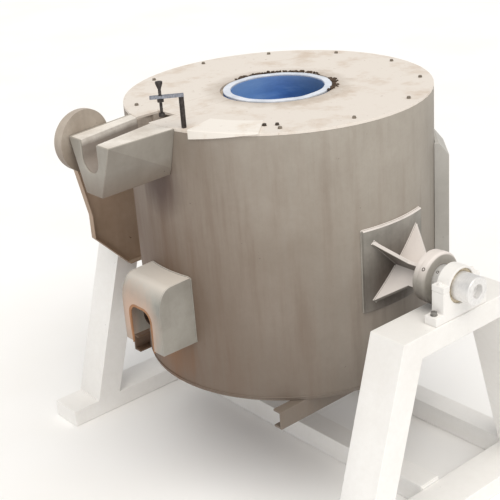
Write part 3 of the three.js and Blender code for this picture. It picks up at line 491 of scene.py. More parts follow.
# Lining: insulating bricks against the shell, a cast hot face, the hearth, the cover ring, the
# crucible's pedestal and the burner's quarl. All of it is rammed or cast and then fired.
def castable(name, pale, dark, grit, grain=260.0, patch=7.0, slag=None):
    """Fired castable refractory: pale matrix, darker grit of about 4 mm, pits of 8 mm.

    Where metal has run, slag coats it: slag = (level, depth, hex) turns to hex within depth under level.
    """
    material, tree, where, broad, pits = new_finish(
        name, [(patch, 5.0, 0.65), (120.0, 6.0, 0.7)], 0.92, 0.2)
    tone = add_node(tree, "ShaderNodeValToRGB", {"Fac": (broad, "Fac")}, [(0.33, dark), (0.64, pale)])
    grains = add_node(tree, "ShaderNodeTexVoronoi", {"Vector": where, "Scale": grain})
    grain_mask = add_node(tree, "ShaderNodeValToRGB", {"Fac": (grains, "Distance")},
                          [(0.1, "7a7a7a"), (0.42, "000000")])
    coats = [(grain_mask, grit)]
    if slag:
        level, depth, coat = slag
        height = add_node(tree, "ShaderNodeSeparateXYZ", {"Vector": where})
        waves = add_node(tree, "ShaderNodeMath", {
            0: (broad, "Fac"), 1: depth, 2: (height, "Z")}, operation="MULTIPLY_ADD")
        slagged = add_node(tree, "ShaderNodeMapRange", {
            "Value": (waves, 0), 1: level - depth * 0.5, 2: level + depth * 0.5, 3: 0.85, 4: 0.0})
        coats.append((slagged, coat))
    return finished(material, tone, coats, [(pits, 0.5, 0.002), (broad, 0.4, 0.008)])


fired_castable = castable("fired_castable", "d8cdbd", "b9a792", "8b7762")
insulating_brick = castable("insulating_fire_brick", "e6dac4", "d2bf9f", "b89f78", 420.0)
for node in ("insulation", "hot_face_lining", "hearth_floor", "cover_ring", "crucible_pedestal",
             "burner_block"):
    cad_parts[node].data.materials.clear()
    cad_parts[node].data.materials.append(insulating_brick if node == "insulation" else fired_castable)


# Crucible: a slip-cast clay pot with a blue glaze that has dusted pale near its rim. The launder's
# channel is cut through its wall. A ring of white refractory cement seals it to the deck, where dark
# crumbs of slag lie round it.
def crucible_glaze(name):
    """Blue glaze over clay: brushed coats, painted light on the left, painted shade on the right, soft gloss.

    The brushed bands are about 30 mm high and 150 mm long.
    """
    material, tree, where = new_finish(name, [])
    bands = add_node(tree, "ShaderNodeMapping", {"Vector": where, "Scale": (3.0, 3.0, 14.0)})
    coats = add_node(tree, "ShaderNodeTexNoise", {
        "Vector": (bands, "Vector"), "Scale": 2.2, "Detail": 6.0, "Roughness": 0.62})
    blue = add_node(tree, "ShaderNodeValToRGB", {"Fac": (coats, "Fac")},
                    [(0.3, "335fa8"), (0.52, "4a7ac4"), (0.75, "7ba2da")])
    # Across grows to the right as the camera sees the mouth: the glaze is painted lighter on the left and
    # painted shade on the right.
    across = add_node(tree, "ShaderNodeVectorMath", {0: where, 1: (0.63, 0.78, 0.0)}, operation="DOT_PRODUCT")
    painted_light_side = add_node(tree, "ShaderNodeMapRange", {
        "Value": (across, "Value"), 1: -0.2, 2: 0.06, 3: 0.85, 4: 0.0})
    painted_shade_side = add_node(tree, "ShaderNodeMapRange", {
        "Value": (across, "Value"), 1: 0.0, 2: 0.2, 3: 0.0, 4: 0.9})
    height = add_node(tree, "ShaderNodeSeparateXYZ", {"Vector": where})
    near_rim = add_node(tree, "ShaderNodeMapRange", {
        "Value": (height, "Z"), 1: 1.74, 2: 1.812, 3: 0.0, 4: 0.35})
    return finished(material, blue, [(painted_light_side, "86b4ec"), (painted_shade_side, "426488"), (near_rim, "8ea9d2")],
                    [(coats, 0.25, 0.002)])


crucible_blue = crucible_glaze("crucible_blue_glaze")
softened("crucible", "glazed", 0.002, crucible_blue, "vessel", 50)
white_cement = castable("white_refractory_cement", "e6ebf4", "cdd4df", "a9b0ba", 300.0, patch=16.0)
cement_inner = 0.2135
cement_outer = 0.2478
cement_height = 0.0098
cement_edge = 0.003
top_waver = 0.0006
bore_waver = 0.0003
cement_low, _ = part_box("mouth_ring")


def cement_shell(columns=192, steps=6):
    """A ring of cement: its top drops by top_waver (2 - sin 7a - sin(11a + 1)) at angle a.

    Its bore wavers by bore_waver sin 17a.
    """
    outline = filleted(sleeve(cement_inner, cement_outer, cement_height), cement_edge, steps)
    angle = around_circle(columns)
    waver = top_waver * (2 - np.sin(7 * angle) - np.sin(11 * angle + 1))
    on_bore = outline[:, 0, None] < (cement_inner + cement_outer) / 2
    on_top = outline[:, 1, None] > cement_height / 2
    radius = outline[:, 0, None] + bore_waver * np.sin(17 * angle) * on_bore
    level = cement_low[2] + outline[:, 1, None] - waver * on_top
    return gridded(np.stack([radius * np.cos(angle), radius * np.sin(angle), level + 0 * angle], axis=-1))


new_piece("mouth_ring_cement", cement_shell(), white_cement, "vessel", "mouth_ring")


def crumb_shell(place, size, turn, around=10, rings=6):
    """A crumb: an ellipsoid whose radius is 1 + 0.22 sin(3a + turn) cos(2e) cos(e) at angles a and e."""
    a = around_circle(around)[None]
    e = np.linspace(-np.pi / 2, np.pi / 2, rings)[:, None]
    swell = 1 + 0.22 * np.sin(3 * a + turn) * np.cos(2 * e) * np.cos(e)
    x = place[0] + size[0] * swell * np.cos(e) * np.cos(a + turn)
    y = place[1] + size[1] * swell * np.cos(e) * np.sin(a + turn)
    z = place[2] + size[2] * swell * np.sin(e) + 0 * a
    return gridded(np.stack([x, y, z], axis=-1))


dice = np.random.default_rng(7)
slag = castable("slag_crumbs", "6b5a4c", "3f352e", "2a2420", 300.0, patch=30.0)
crumb_count = 140
crumb_heaps = [128, 140, 150, 200, 216, 232, 248, 264]
crumb_nearest = 0.2505
crumb_spread = 0.012
crumb_finest, crumb_coarsest = 0.003, 0.010
crumb_flatness = 0.7
crumb_floor = drum_top + 0.0002
crumbs = []
for _ in range(crumb_count):
    bearing = math.radians(dice.choice(crumb_heaps) + dice.normal(0, 8))
    reach = crumb_nearest + abs(dice.normal(0, crumb_spread))
    size = dice.uniform(crumb_finest, crumb_coarsest, 3) * [1.0, 1.0, crumb_flatness]
    spot = (reach * math.sin(bearing), -reach * math.cos(bearing), crumb_floor + size[2] * 0.6)
    crumbs.append(crumb_shell(spot, size, dice.uniform(0, 6)))
new_piece("slag_crumbs_on_deck", joined(crumbs), slag, "vessel", sharp=60)


# Deck: a steel annulus bolted down round the mouth, painted cream and stained brown by heat and
# splashes, with a slot over the launder that a loose cover strip closes.
def baked_enamel(name, cream, stained, scorched, rust):
    """Cream enamel baked by the melt: scorched next to the mouth, blotched by 0.2 m, specks of 37 mm."""
    material, tree, where, blotches, specks = new_finish(
        name, [(5.0, 6.0, 0.68), (27.0, 8.0, 0.72)], 0.62, 0.35)
    tone = add_node(tree, "ShaderNodeValToRGB", {"Fac": (blotches, "Fac")},
                    [(0.32, stained), (0.5, cream), (0.72, cream)])
    level = add_node(tree, "ShaderNodeMapping", {"Vector": where, "Scale": (1.0, 1.0, 0.0)})
    reach = add_node(tree, "ShaderNodeVectorMath", {0: (level, "Vector")}, operation="LENGTH")
    rough_reach = add_node(tree, "ShaderNodeMath", {
        0: (blotches, "Fac"), 1: 0.16, 2: (reach, "Value")}, operation="MULTIPLY_ADD")
    scorch = add_node(tree, "ShaderNodeMapRange", {
        "Value": (rough_reach, 0), 1: 0.335, 2: 0.43, 3: 0.62, 4: 0.0})
    speck_mask = add_node(tree, "ShaderNodeValToRGB", {"Fac": (specks, "Fac")},
                          [(0.62, "000000"), (0.68, "b0b0b0")])
    return finished(material, tone, [(scorch, scorched), (speck_mask, rust)],
                    [(specks, 0.25, 0.0015), (blotches, 0.2, 0.01)])


def on_deck(circle, bearings):
    """Places on the deck's top at bearings in degrees round a circle."""
    return [(circle * math.sin(b), -circle * math.cos(b), drum_top) for b in np.radians(bearings)]


deck_enamel = baked_enamel("deck_alkyd_enamel", "e6ded5", "d5c6b7", "aea091", "8a6a50")
softened("deck_plate", "rolled", 0.003, deck_enamel, "vessel")
softened("launder_cover", "strip", 0.0015, deck_enamel, "vessel")
black_steel = worked_metal("blackened_bolt_steel", "6e655d", "4d4640", 0.6, 80.0)
dusty_steel = worked_metal("dust_covered_bolt_steel", "9c9286", "7d7468", 0.7, 80.0, metallic=0.4)
deck_bolt_sizes = (0.015, 0.007, 0.002)
bolt_circle = 0.645
bolt_bearings = [49, 77, 108, 139, 170, 201, 232, 263, 294, 333]
bolted("deck_bolts", on_deck(bolt_circle, bolt_bearings), upward, deck_bolt_sizes, dusty_steel, "vessel")
pair_circle = 0.595
pair_bearings = [43, 48]
bolted("deck_bolt_pair", on_deck(pair_circle, pair_bearings), upward, deck_bolt_sizes, black_steel,
       "vessel")


# Launder and spout: the launder is a cast trough inside the drum, and the spout is a tapered box of
# plate, filled with castable, whose channel turns and falls a little towards the nose.
channel_castable = castable("launder_castable", "b9aea3", "978c82", "6d6258", 240.0, patch=9.0)
softened("launder_trough", "cast", 0.002, channel_castable, "vessel", 40)
# The spout's faces that look down carry painted shade.
spout_enamel = alkyd_enamel("spout_alkyd_enamel", "b0aba2", "9d988f", "716a60", "4c3c32", 0.52, patch=3.2,
                            streak="6e6e6e", dust_and_top_light="cfc5b6", under=0.6, low=(1.6, 1.7, "6c5747", 0.5))
spout_castable = castable("spout_castable", "f0eae2", "d2cac0", "9a9085", 240.0,
                          slag=(drum_top - 0.012, 0.02, "8b8077"))
softened("spout_casing", "plate", 0.004, spout_enamel, "vessel", hard=False)
softened("spout_lining", "cast", 0.003, spout_castable, "vessel", 40)
boss_radius = 0.132
boss_rim = 0.02
boss_axis_y = -0.932
boss_axis_z = drum_top - 0.045
boss_outer = -0.212
cheek_root = (-0.214, -0.64)
cheek_nose = (-0.1485, -1.02)
cheek_gap = 0.0006
cheek_slope = (cheek_nose[0] - cheek_root[0]) / (cheek_nose[1] - cheek_root[1])


def boss_shell(columns=144):
    """A disc whose outline, at angle a, runs out from the slanted cheek to a rounded rim and a flat end."""
    angle = around_circle(columns)
    rows = [(0.0, None), (boss_radius, None)]
    for ease in np.linspace(0, np.pi / 2, 7):
        rows.append((boss_radius - boss_rim * (1 - math.cos(ease)),
                     boss_outer + boss_rim * (1 - math.sin(ease))))
    rows += [(boss_radius * 0.5, boss_outer), (0.0, boss_outer)]
    points = []
    for radius, x in rows:
        y = boss_axis_y + radius * np.cos(angle)
        z = boss_axis_z + radius * np.sin(angle)
        on_cheek = cheek_root[0] + cheek_slope * (y - cheek_root[1]) - cheek_gap
        points.append(np.stack([on_cheek if x is None else 0 * y + x, y, z], axis=1))
    return gridded(np.stack(points))


# The boss's faces that look down carry painted shade.
boss_enamel = alkyd_enamel("boss_alkyd_enamel", "beb3a6", "a89c8f", "766a5e", "4c3c32", 0.55, patch=6.0,
                           streak="808080", dust_and_top_light="c9bcb0", under=0.5, low=(1.66, 1.82, "6a5747", 0.6))
new_piece("spout_boss_turned", boss_shell(), boss_enamel, "vessel", "spout_boss")


# Cover plate and clamp: a thin plate on the deck's front edge with a lip over the shell, and beside
# it a post with an arm whose screw presses a pad down on the spout's near bank.
def strip_shell(rows):
    """Closes a strip, whose rows go round its section, with a pole at the middle of each end."""
    rows = np.asarray(rows)
    ends = [np.repeat(rows[:, [end]].mean(0, keepdims=True), len(rows), 0) for end in (0, -1)]
    points, quads = gridded(np.concatenate([ends[0], rows, ends[1]], axis=1))
    column = quads % (rows.shape[1] + 2)
    return points, quads[column.max(axis=1) - column.min(axis=1) == 1]


cover_from, cover_to = np.radians([17, 42])
cover_inner = 0.54
cover_lip = 0.703
cover_thickness = 0.006
cover_bend = 0.003
cover_gap = 0.0003
lip_drop = 0.034


def cover_shell(columns=60):
    """At each bearing a flat strip out to the lip, whose depth shrinks evenly to nothing."""
    bearing = np.linspace(cover_from, cover_to, columns)
    share = (bearing - cover_from) / (cover_to - cover_from)
    low = drum_top + cover_gap + 0 * share
    top = low + cover_thickness
    lip_end = drum_top - lip_drop * (1 - share)
    outside = cover_lip + cover_thickness
    outline = [(cover_inner, low), (cover_inner, top), (cover_lip + cover_bend, top),
               (outside, low + cover_bend), (outside, lip_end), (cover_lip, lip_end), (cover_lip, low)]
    return strip_shell([np.stack([r * np.sin(bearing), -r * np.cos(bearing), z], axis=1) for r, z in outline])


cover_enamel = baked_enamel("cover_plate_enamel", "f2ece4", "e2d5c6", "c9bfb2", "8d7a68")
new_piece("cover_plate_bent", cover_shell(), cover_enamel, "vessel", "cover_plate", 25)
clamp_iron = worked_metal("black_forged_iron", "55504e", "3a3534", 0.6, 60.0, metallic=0.7, spots="5d4535")
arm_steel = worked_metal("scaled_flat_bar", "a9adb8", "82848d", 0.5, 70.0, (4.0, 1.0, 1.0), metallic=0.8)
softened("clamp_post", "bar", 0.0015, clamp_iron, "vessel")
softened("clamp_arm", "bar", 0.0015, arm_steel, "vessel", 40)
softened("clamp_nut", "hex", 0.001, clamp_iron, "vessel", 40)
screw_low, screw_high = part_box("clamp_screw")
pad_low, pad_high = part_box("clamp_pad")
pad_height = pad_high[2] - pad_low[2]
screw_x = (pad_low[0] + pad_high[0]) / 2
screw_y = (pad_low[1] + pad_high[1]) / 2
screw_radius = 0.0068
thread_depth = 0.0012
thread_pitch = 0.005
screw_end_gap = 0.0005
screw_head = 0.031
screw_head_outline = [(0.0070, 0.001), (0.0148, 0.022), (0.0150, 0.0306), (0.0135, screw_head),
                      (0.0, screw_head)]


def screw_shell(columns=24, rows=190):
    """A thread: radius less 2 depths times how far (z / pitch - a / 2 pi)'s fraction is from a half."""
    level = np.linspace(screw_low[2] + screw_end_gap, screw_high[2] - screw_head, rows)[:, None]
    angle = around_circle(columns)[None]
    phase = (level / thread_pitch - angle / (2 * np.pi)) % 1.0
    radius = screw_radius - 2 * thread_depth * np.abs(phase - 0.5)
    head = np.array(screw_head_outline)
    radius = np.concatenate([0 * radius[:1], radius, head[:, :1] + 0 * angle])
    level = np.concatenate([level[:1], level, level[-1] + head[:, 1:]]) + 0 * angle
    return gridded(np.stack([screw_x + radius * np.cos(angle), screw_y + radius * np.sin(angle), level],
                            axis=-1))


new_piece("clamp_screw_threaded", screw_shell(), clamp_iron, "clamp_screw", "clamp_screw", 40)
pad_foot = 0.013
pad_foot_height = 0.010
pad_neck = 0.0105
pad_socket = 0.0078
pad_socket_floor = pad_height - 0.005
turned("clamp_pad",
       [(0.0, 0.0), (pad_foot, 0.0), (pad_foot, pad_foot_height), (pad_neck, pad_height),
        (pad_socket, pad_height), (pad_socket, pad_socket_floor), (0.0, pad_socket_floor)],
       0.001, 40, (screw_x, screw_y, pad_low[2]), upward, clamp_iron, "clamp_pad")


# Trunnions: a curved saddle welded to the shell, ribs set in an X, a turned hub and collar, and the
# shaft. Set screws lock the collar, and the welds are left as they were laid, under the paint.
shaft_steel = worked_metal("turned_shaft_steel", "f4f3f2", "e6e5e4", 0.48, 70.0, (8.0, 1.0, 1.0),
                           metallic=0.7, spots="d6d3cf")
# The trunnion paint lightens faces that look up to a painted highlight and darkens faces that look down with
# painted shade.
top_light_and_under_shade = {"dust_and_top_light": "efe7e2", "settle": (0.12, 0.75, 0.9), "under": 0.85}
trunnion_enamel = alkyd_enamel("trunnion_alkyd_enamel", "aba69e", "96928a", "645c54", "453a33", 0.5,
                               patch=4.5, streak="6c6c6c", **top_light_and_under_shade)
saddle_half_width = 0.18
saddle_rise = 0.196
saddle_fall = 0.184
saddle_outer = 0.7163
saddle_inner = 0.7005
saddle_edge = 0.004
trunnion_bore = 0.0625
hub_radius = 0.112
collar_radius = 0.114
collar_chamfer = 0.009
shaft_radius = 0.062
shaft_chamfer = 0.004
recess_mouth = 0.0305
recess_floor = 0.0295
recess_depth = 0.03
rib_root = 0.012
rib_reach = 0.196
rib_weld_offset = 0.0085
trunnion_weld = 0.0035
set_screws = (("collar", 0.943, 0.1139, 36.7), ("shaft", 0.974, 0.0619, 49.6))
set_screw_outline = [(0.0, -0.004), (0.010, -0.004), (0.010, 0.0006), (0.006, 0.0006), (0.0045, -0.003),
                     (0.0, -0.003)]
saddle_weld_radius = drum_radius + 0.002
rib_weld_radius = saddle_outer + 0.0005


def on_trunnion(sign, radius, y, rise):
    """Points on an upright cylinder round the drum's axis, at places y, a rise over the trunnion's level."""
    return np.stack([sign * np.sqrt(radius ** 2 - y ** 2), y, trunnion_level + rise + 0 * y], axis=1)


def saddle_shell(sign, columns=48):
    """A plate bent to the shell: y from edge to edge, two radii for its faces, and eased corners."""
    y = np.linspace(-saddle_half_width, saddle_half_width, columns)
    section = [(saddle_inner, 0.0), (saddle_outer - saddle_edge, 0.0), (saddle_outer, saddle_edge)]
    rows = [on_trunnion(sign, radius, y, back - saddle_fall) for radius, back in section]
    rows += [on_trunnion(sign, radius, y, saddle_rise - back) for radius, back in section[::-1]]
    return strip_shell(rows)


def reach_along_x(node):
    """The distance from the drum's middle to a piece's nearer end, and the piece's length, both along x."""
    low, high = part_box(node)
    return min(abs(low[0]), abs(high[0])), high[0] - low[0]


for side, sign in sides:
    # Each saddle's spot is painted shade, dark between the ribs round the hub.
    saddle_painted_shade = alkyd_enamel(f"saddle_{side}_painted_shade_enamel", "a5a199", "8f8c85", "5d554d", "453a33", 0.55,
                          patch=9.0, streak="9a9a9a", **top_light_and_under_shade,
                          heat_and_shade_spots=(((sign * 0.71, -0.02, 1.07), 0.3, "463c35", 0.9),))
    new_piece(f"trunnion_saddle_{side}_plate", saddle_shell(sign), saddle_painted_shade, "vessel",
              f"trunnion_saddle_{side}")
    softened(f"trunnion_ribs_{side}", "plate", 0.0025, trunnion_enamel, "vessel")
    axis = (float(sign), 0.0, 0.0)
    hub_start, hub_length = reach_along_x(f"trunnion_hub_{side}")
    collar_start, collar_length = reach_along_x(f"trunnion_collar_{side}")
    shaft_start, shaft_length = reach_along_x(f"trunnion_shaft_{side}")
    collar_outline = [(trunnion_bore, 0.0), (collar_radius, 0.0),
                      (collar_radius, collar_length - collar_chamfer),
                      (collar_radius - collar_chamfer, collar_length), (trunnion_bore, collar_length)]
    shaft_outline = [(0.0, 0.0), (shaft_radius, 0.0), (shaft_radius, shaft_length - shaft_chamfer),
                     (shaft_radius - shaft_chamfer, shaft_length), (recess_mouth, shaft_length),
                     (recess_floor, shaft_length - recess_depth), (0.0, shaft_length - recess_depth)]
    for part, start, outline, edge, material, slot in (
            ("hub", hub_start, sleeve(trunnion_bore, hub_radius, hub_length), 0.0015, trunnion_enamel,
             "shell_paint"),
            ("collar", collar_start, collar_outline, 0.003, trunnion_enamel, "shell_paint"),
            ("shaft", shaft_start, shaft_outline, 0.0008, shaft_steel, "machined_steel")):
        turned(f"trunnion_{part}_{side}", outline, edge, 96, (sign * start, 0.0, trunnion_level), axis,
               material, "vessel")
    for part, along, radius, bearing in set_screws:
        for number, about in enumerate(np.radians([bearing, bearing + 180.0])):
            out = (0.0, -math.cos(about), math.sin(about))
            seat = (sign * along, radius * out[1], trunnion_level + radius * out[2])
            turned(None, set_screw_outline, 0.0004, 32, seat, out, black_steel, "vessel",
                   f"{part}_set_screw_{side}_{number}")
    bend = np.linspace(-saddle_half_width, saddle_half_width, 24)
    rise = np.linspace(-saddle_fall, saddle_rise, 12)
    paths = [on_trunnion(sign, saddle_weld_radius, bend, level) for level in (-saddle_fall, saddle_rise)]
    paths += [on_trunnion(sign, saddle_weld_radius, 0 * rise + edge, rise) for edge in (bend[0], bend[-1])]
    for lean in (-1, 1):
        for turn in (-1, 1):
            foot = np.linspace(rib_root, rib_reach, 24) * turn
            for offset in (-rib_weld_offset, rib_weld_offset):
                paths.append(on_trunnion(sign, rib_weld_radius, (foot - lean * offset) / math.sqrt(2),
                                         (lean * foot + offset) / math.sqrt(2)))
    welded(f"trunnion_welds_{side}", paths, trunnion_weld, trunnion_enamel, "vessel")


# Burner hood: a folded sheet with an arch cut in its front, closed by a cheek on each side. The
# arch's cut edge and the hood's inside still show the orange primer. The burner tube lies within.
# The hood's faces that look up are painted pale cream, a dusting together with painted light from above, and
# its faces that look down carry painted shade. Its spot is a warm scorch tint round the arch.
hood_enamel = alkyd_enamel("hood_alkyd_enamel", "a2a19a", "908f88", "716c64", "8f5a3a", 0.5, patch=5.0,
                           streak="707070", dust_and_top_light="e6ded4", settle=(0.25, 0.85, 0.8), under=0.6,
                           heat_and_shade_spots=(((-0.05, -0.95, 0.95), 0.22, "dbb49c", 0.9),))
primer_orange = alkyd_enamel("red_lead_primer", "ab7d5b", "987050", "7a5a44", "6b5a4e", 0.8,
                             patch=8.0, streak="555555", dust_and_top_light="c08a5e")
softened("hood_sheet", "folded", 0.0012, hood_enamel, "vessel", 30)
for side, _ in sides:
    softened(f"hood_cheek_{side}", "plate", 0.0015, hood_enamel, "vessel")
arch_centre = -0.012
arch_half = 0.074
arch_spring = 0.967
arch_corner = 0.048
arch_eye_level = 0.95
arch_edge_width = 0.012
hood_foot_level = 0.8335
hood_front = -0.868
hood_sheet_thickness = 0.005
edge_overlap = 0.0006
edge_sink = 0.0008


def arch_shell(steps=16):
    """A strip round the arch's cut edge: up one leg, round two quarter circles, down the other leg."""
    leg = np.linspace(hood_foot_level, arch_spring, 8)
    turn = np.linspace(0, np.pi / 2, steps)
    x = np.concatenate([arch_half + 0 * leg, arch_half - arch_corner + arch_corner * np.cos(turn)])
    z = np.concatenate([leg, arch_spring + arch_corner * np.sin(turn)])
    x = np.concatenate([x, -x[::-1]]) + arch_centre
    z = np.concatenate([z, z[::-1]])
    out = np.stack([x - arch_centre, z - arch_eye_level], axis=1)
    out /= np.linalg.norm(out, axis=1)[:, None]
    front = hood_front - edge_overlap
    back = hood_front + hood_sheet_thickness + edge_overlap
    section = [(arch_edge_width, front), (arch_edge_width, back), (-edge_sink, back), (-edge_sink, front)]
    return strip_shell([np.stack([x + out[:, 0] * proud, y + 0 * z, z + out[:, 1] * proud], axis=1)
                        for proud, y in section])


new_piece("hood_arch_edge", arch_shell(), primer_orange, "vessel", sharp=50)
frontward = (0.0, -1.0, 0.0)
burner_level = 0.968
burner_root = -0.42
burner_bore = 0.040
burner_radius = 0.045
burner_length = 0.408
flange_radius = 0.066
flange_from, flange_to = 0.290, 0.300
flange_bolt_circle = 0.055
burner_iron = worked_metal("burnt_steel_tube", "6f5a4c", "453a34", 0.65, 50.0, metallic=0.6, spots="8a4f2c")
turned("burner_tube",
       [(burner_bore, 0.0), (burner_radius, 0.0), (burner_radius, flange_from), (flange_radius, flange_from),
        (flange_radius, flange_to), (burner_radius, flange_to), (burner_radius, burner_length),
        (burner_bore, burner_length)],
       0.0012, 72, (0.0, burner_root, burner_level), frontward, burner_iron, "vessel")
flange_bolts = [(flange_bolt_circle * math.cos(a), burner_root - flange_to,
                 burner_level + flange_bolt_circle * math.sin(a)) for a in np.radians([45, 135, 225, 315])]
bolted("burner_flange_bolts", flange_bolts, frontward, (0.011, 0.006, 0.001), black_steel, "vessel")
hood_weld = 0.003
cheek_weld_radius = drum_radius + 0.0015
cheek_weld_x = 0.1415
cheek_weld_low, cheek_weld_high = 0.834, 1.145
roof_weld_radius = drum_radius + 0.002
roof_weld_half = 0.132
roof_weld_level = 1.149
cheek_drop = np.linspace(cheek_weld_low, cheek_weld_high, 24)
hood_welds = [np.stack([0 * cheek_drop + x, 0 * cheek_drop - math.sqrt(cheek_weld_radius ** 2 - x ** 2),
                        cheek_drop], axis=1) for x in (-cheek_weld_x, cheek_weld_x)]
roof_run = np.linspace(-roof_weld_half, roof_weld_half, 20)
hood_welds.append(np.stack([roof_run, -np.sqrt(roof_weld_radius ** 2 - roof_run ** 2),
                            0 * roof_run + roof_weld_level], axis=1))
welded("hood_welds", hood_welds, hood_weld, hood_enamel, "vessel")


# Flue duct: a tall folded box welded to the rear of the shell, open at its foot, that leads the hot
# gas down from the port in the lining.
# The duct's faces that look down carry painted shade.
duct_enamel = alkyd_enamel("duct_alkyd_enamel", "c4c2bd", "b3b0aa", "87817a", "6b6158", 0.55,
                           patch=2.0, streak="666666", dust_and_top_light="d6d2cb", under=0.35)
softened("flue_duct", "folded", 0.003, duct_enamel, "vessel")


# Tilting drive: a flame-cut quadrant keyed to the left trunnion shaft, a pinion on a turned shaft
# behind it, its flange bearing, and a folded guard over them. The teeth are greased and dark. A sheet
# tray on the left frame keeps splashes off the bearing and the gears.
gear_iron = worked_metal("greased_cast_iron", "57524e", "35312e", 0.5, 50.0, metallic=0.8)
softened("tilt_quadrant", "cut", 0.0012, gear_iron, "vessel", 40)
softened("drive_pinion", "cut", 0.0012, gear_iron, "drive", 40)
pinion_low, pinion_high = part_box("pinion_shaft")
pinion_y = (pinion_low[1] + pinion_high[1]) / 2
pinion_z = (pinion_low[2] + pinion_high[2]) / 2
pinion_length = pinion_high[0] - pinion_low[0]
pinion_radius = 0.024
pinion_chamfer = 0.003
pinion_bore = 0.0243
leftward = (-1.0, 0.0, 0.0)
turned("pinion_shaft",
       [(0.0, 0.0), (pinion_radius, 0.0), (pinion_radius, pinion_length - pinion_chamfer),
        (pinion_radius - pinion_chamfer, pinion_length), (0.0, pinion_length)],
       0.001, 64, (pinion_high[0], pinion_y, pinion_z), leftward, shaft_steel, "drive")
softened("pinion_bearing", "flange", 0.002, gear_iron, "stand", 40)
softened("gear_guard", "folded", 0.003, shell_enamel, "stand")
# The shield's faces that look down carry painted shade.
shield_enamel = alkyd_enamel("shield_alkyd_enamel", "b49e8b", "a38d79", "77634f", "5a4536", 0.6,
                             patch=3.0, streak="707070", dust_and_top_light="b7a896", under=0.3)
softened("splash_shield", "folded", 0.002, shield_enamel, "stand")
guard_low, guard_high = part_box("guard_bush")
guard_bush_radius = 0.034
turned("guard_bush", sleeve(pinion_bore, guard_bush_radius, guard_high[0] - guard_low[0]), 0.0012, 64,
       (guard_low[0], pinion_y, pinion_z), rightward, bush_bronze, "stand")


# Handwheel: a cast rim of round section on five spokes, keyed to the pinion shaft, with a moulded
# black grip that spins on a fixed pin.
wheel_x = -1.236
wheel_radius = 0.24
wheel_rim = 0.014
wheel_hub_radius = 0.046
wheel_hub_half = 0.02
spoke_root = 0.03
spoke_thickness = 0.010
spoke_root_swell = 0.004
spoke_rim_swell = 0.002
spoke_flatness = 0.8
spoke_steps = 24
pin_radius = 0.0078
pin_head = 0.0126
pin_shank = 0.130
pin_head_from, pin_head_to = 0.1305, 0.1355


def wheel_shell(columns=160, around=20):
    """A torus for the rim, five tapered tubes for the spokes, a turned hub, and the grip's headed pin."""
    angle = around_circle(columns)[:, None]
    turn = around_circle(around)[None]
    radius = wheel_radius + wheel_rim * np.cos(turn)
    rim = [wheel_x + wheel_rim * np.sin(turn) + 0 * angle, pinion_y + radius * np.sin(angle),
           pinion_z + radius * np.cos(angle)]
    shells = [gridded(np.stack(rim, axis=-1))]
    reach = np.linspace(spoke_root, wheel_radius, spoke_steps)[:, None]
    share = (reach - spoke_root) / (wheel_radius - spoke_root)
    thick = spoke_thickness + spoke_root_swell * (1 - share) ** 3 + spoke_rim_swell * share ** 6
    thick[[0, -1]] = 0.0
    for lean in around_circle(5):
        y = pinion_y - reach * math.sin(lean) + thick * np.sin(turn) * math.cos(lean)
        z = pinion_z + reach * math.cos(lean) + thick * np.sin(turn) * math.sin(lean)
        shells.append(gridded(np.stack([wheel_x + thick * spoke_flatness * np.cos(turn), y, z], axis=-1)))
    hub = filleted(sleeve(pinion_bore, wheel_hub_radius, 2 * wheel_hub_half), 0.004)
    shells.append(turned_shell(hub, 64, (wheel_x - wheel_hub_half, pinion_y, pinion_z), rightward))
    pin = filleted([(0.0, 0.0), (pin_radius, 0.0), (pin_radius, pin_shank), (pin_head, pin_head_from),
                    (pin_head, pin_head_to), (0.0, pin_head_to)], 0.0008)
    shells.append(turned_shell(pin, 32, (wheel_x, pinion_y, pinion_z + wheel_radius), leftward))
    return joined(shells)


wheel_iron = worked_metal("painted_cast_wheel", "4e4b4a", "333130", 0.5, 60.0, metallic=0.3)
new_piece("handwheel_cast", wheel_shell(), wheel_iron, "drive", "handwheel", 45)


def moulded_grip(name):
    """Moulded phenolic: black, satin, with fine mould texture and lighter wear in patches of 18 mm."""
    material, tree, _, wear = new_finish(name, [(55.0, 5.0, 0.5)], 0.42)
    tone = add_node(tree, "ShaderNodeValToRGB", {"Fac": (wear, "Fac")}, [(0.4, "1e1f22"), (0.75, "3b3c40")])
    return finished(material, tone, [], [(wear, 0.2, 0.0006)])


grip_bore = 0.0083
grip_near, grip_far = 0.0143, 0.1238
grip_outline = [(grip_bore, grip_near), (0.0128, grip_near), (0.0160, 0.045), (0.0168, 0.075), (0.0160, 0.1),
                (0.0128, grip_far), (grip_bore, grip_far)]
turned("handwheel_grip", grip_outline, 0.004, 48, (wheel_x, pinion_y, pinion_z + wheel_radius), leftward,
       moulded_grip("moulded_phenolic"), "grip", "handwheel_grip_moulded")


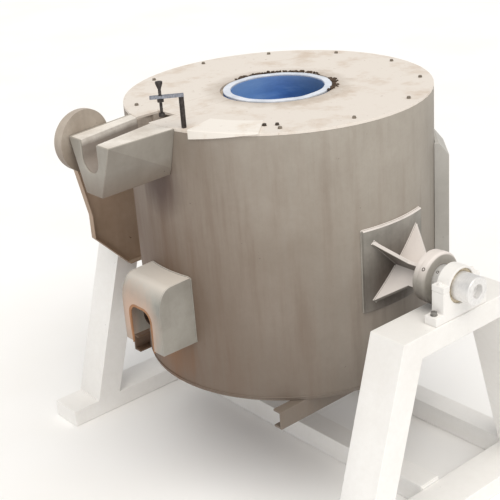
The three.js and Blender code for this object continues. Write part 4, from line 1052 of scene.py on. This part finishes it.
# The photograph's view: a pale floor, broad soft light from above and from the camera's side, and a
# camera placed where the deck's and the bottom's ellipses put it.
def pale_floor(name):
    """Swept concrete painted white, with a faint mottle of a metre or so."""
    material, tree, _, mottle = new_finish(name, [(0.8, 3.0, 0.5)], 0.9)
    tone = add_node(tree, "ShaderNodeValToRGB", {"Fac": (mottle, "Fac")}, [(0.3, "fbfaf8"), (0.7, "ffffff")])
    return finished(material, tone, [], [])


floor_reach = 40.0
floor_level = -0.001
floor_mesh = bpy.data.meshes.new("floor")
floor_signs = ((-1, -1), (1, -1), (1, 1), (-1, 1))
floor_mesh.from_pydata([(x * floor_reach, y * floor_reach, floor_level) for x, y in floor_signs], [],
                       [(0, 1, 2, 3)])
floor_mesh.materials.append(pale_floor("white_floor"))
floor = in_scene("floor", floor_mesh)

world = bpy.data.worlds.new("soft_sky")
bpy.context.scene.world = world
world.use_nodes = True
world.node_tree.nodes["Background"].inputs["Color"].default_value = (1.0, 1.0, 1.0, 1.0)
world.node_tree.nodes["Background"].inputs["Strength"].default_value = 0.62
sky_light = bpy.data.lights.new("soft_overhead", "SUN")
sky_light.energy = 1.75
sky_light.angle = math.radians(55)
sky_light.color = linear("fffaf2")[:3]
overhead = in_scene("soft_overhead", sky_light)
overhead.rotation_euler = Vector((0.55, -0.25, 1.0)).to_track_quat("Z", "Y").to_euler()

camera_place = Vector((3.7474, -3.2575, 3.1367))
camera_aim = Vector((-0.7160, 0.5781, -0.3913)).normalized()
camera_roll = math.radians(-4.385)
camera_right = camera_aim.cross(Vector((0.0, 0.0, 1.0))).normalized()
camera_up = camera_right.cross(camera_aim)
rolled_right = math.cos(camera_roll) * camera_right + math.sin(camera_roll) * camera_up
rolled_up = math.cos(camera_roll) * camera_up - math.sin(camera_roll) * camera_right
camera_data = bpy.data.cameras.new("photo_camera")
camera_data.sensor_width = 36.0
camera_data.lens = 80.756
camera = in_scene("photo_camera", camera_data)
camera_turn = Matrix((rolled_right, rolled_up, -camera_aim)).transposed().to_4x4()
camera.matrix_world = Matrix.Translation(camera_place) @ camera_turn
bpy.context.scene.camera = camera
bpy.context.scene.view_settings.view_transform = "Standard"
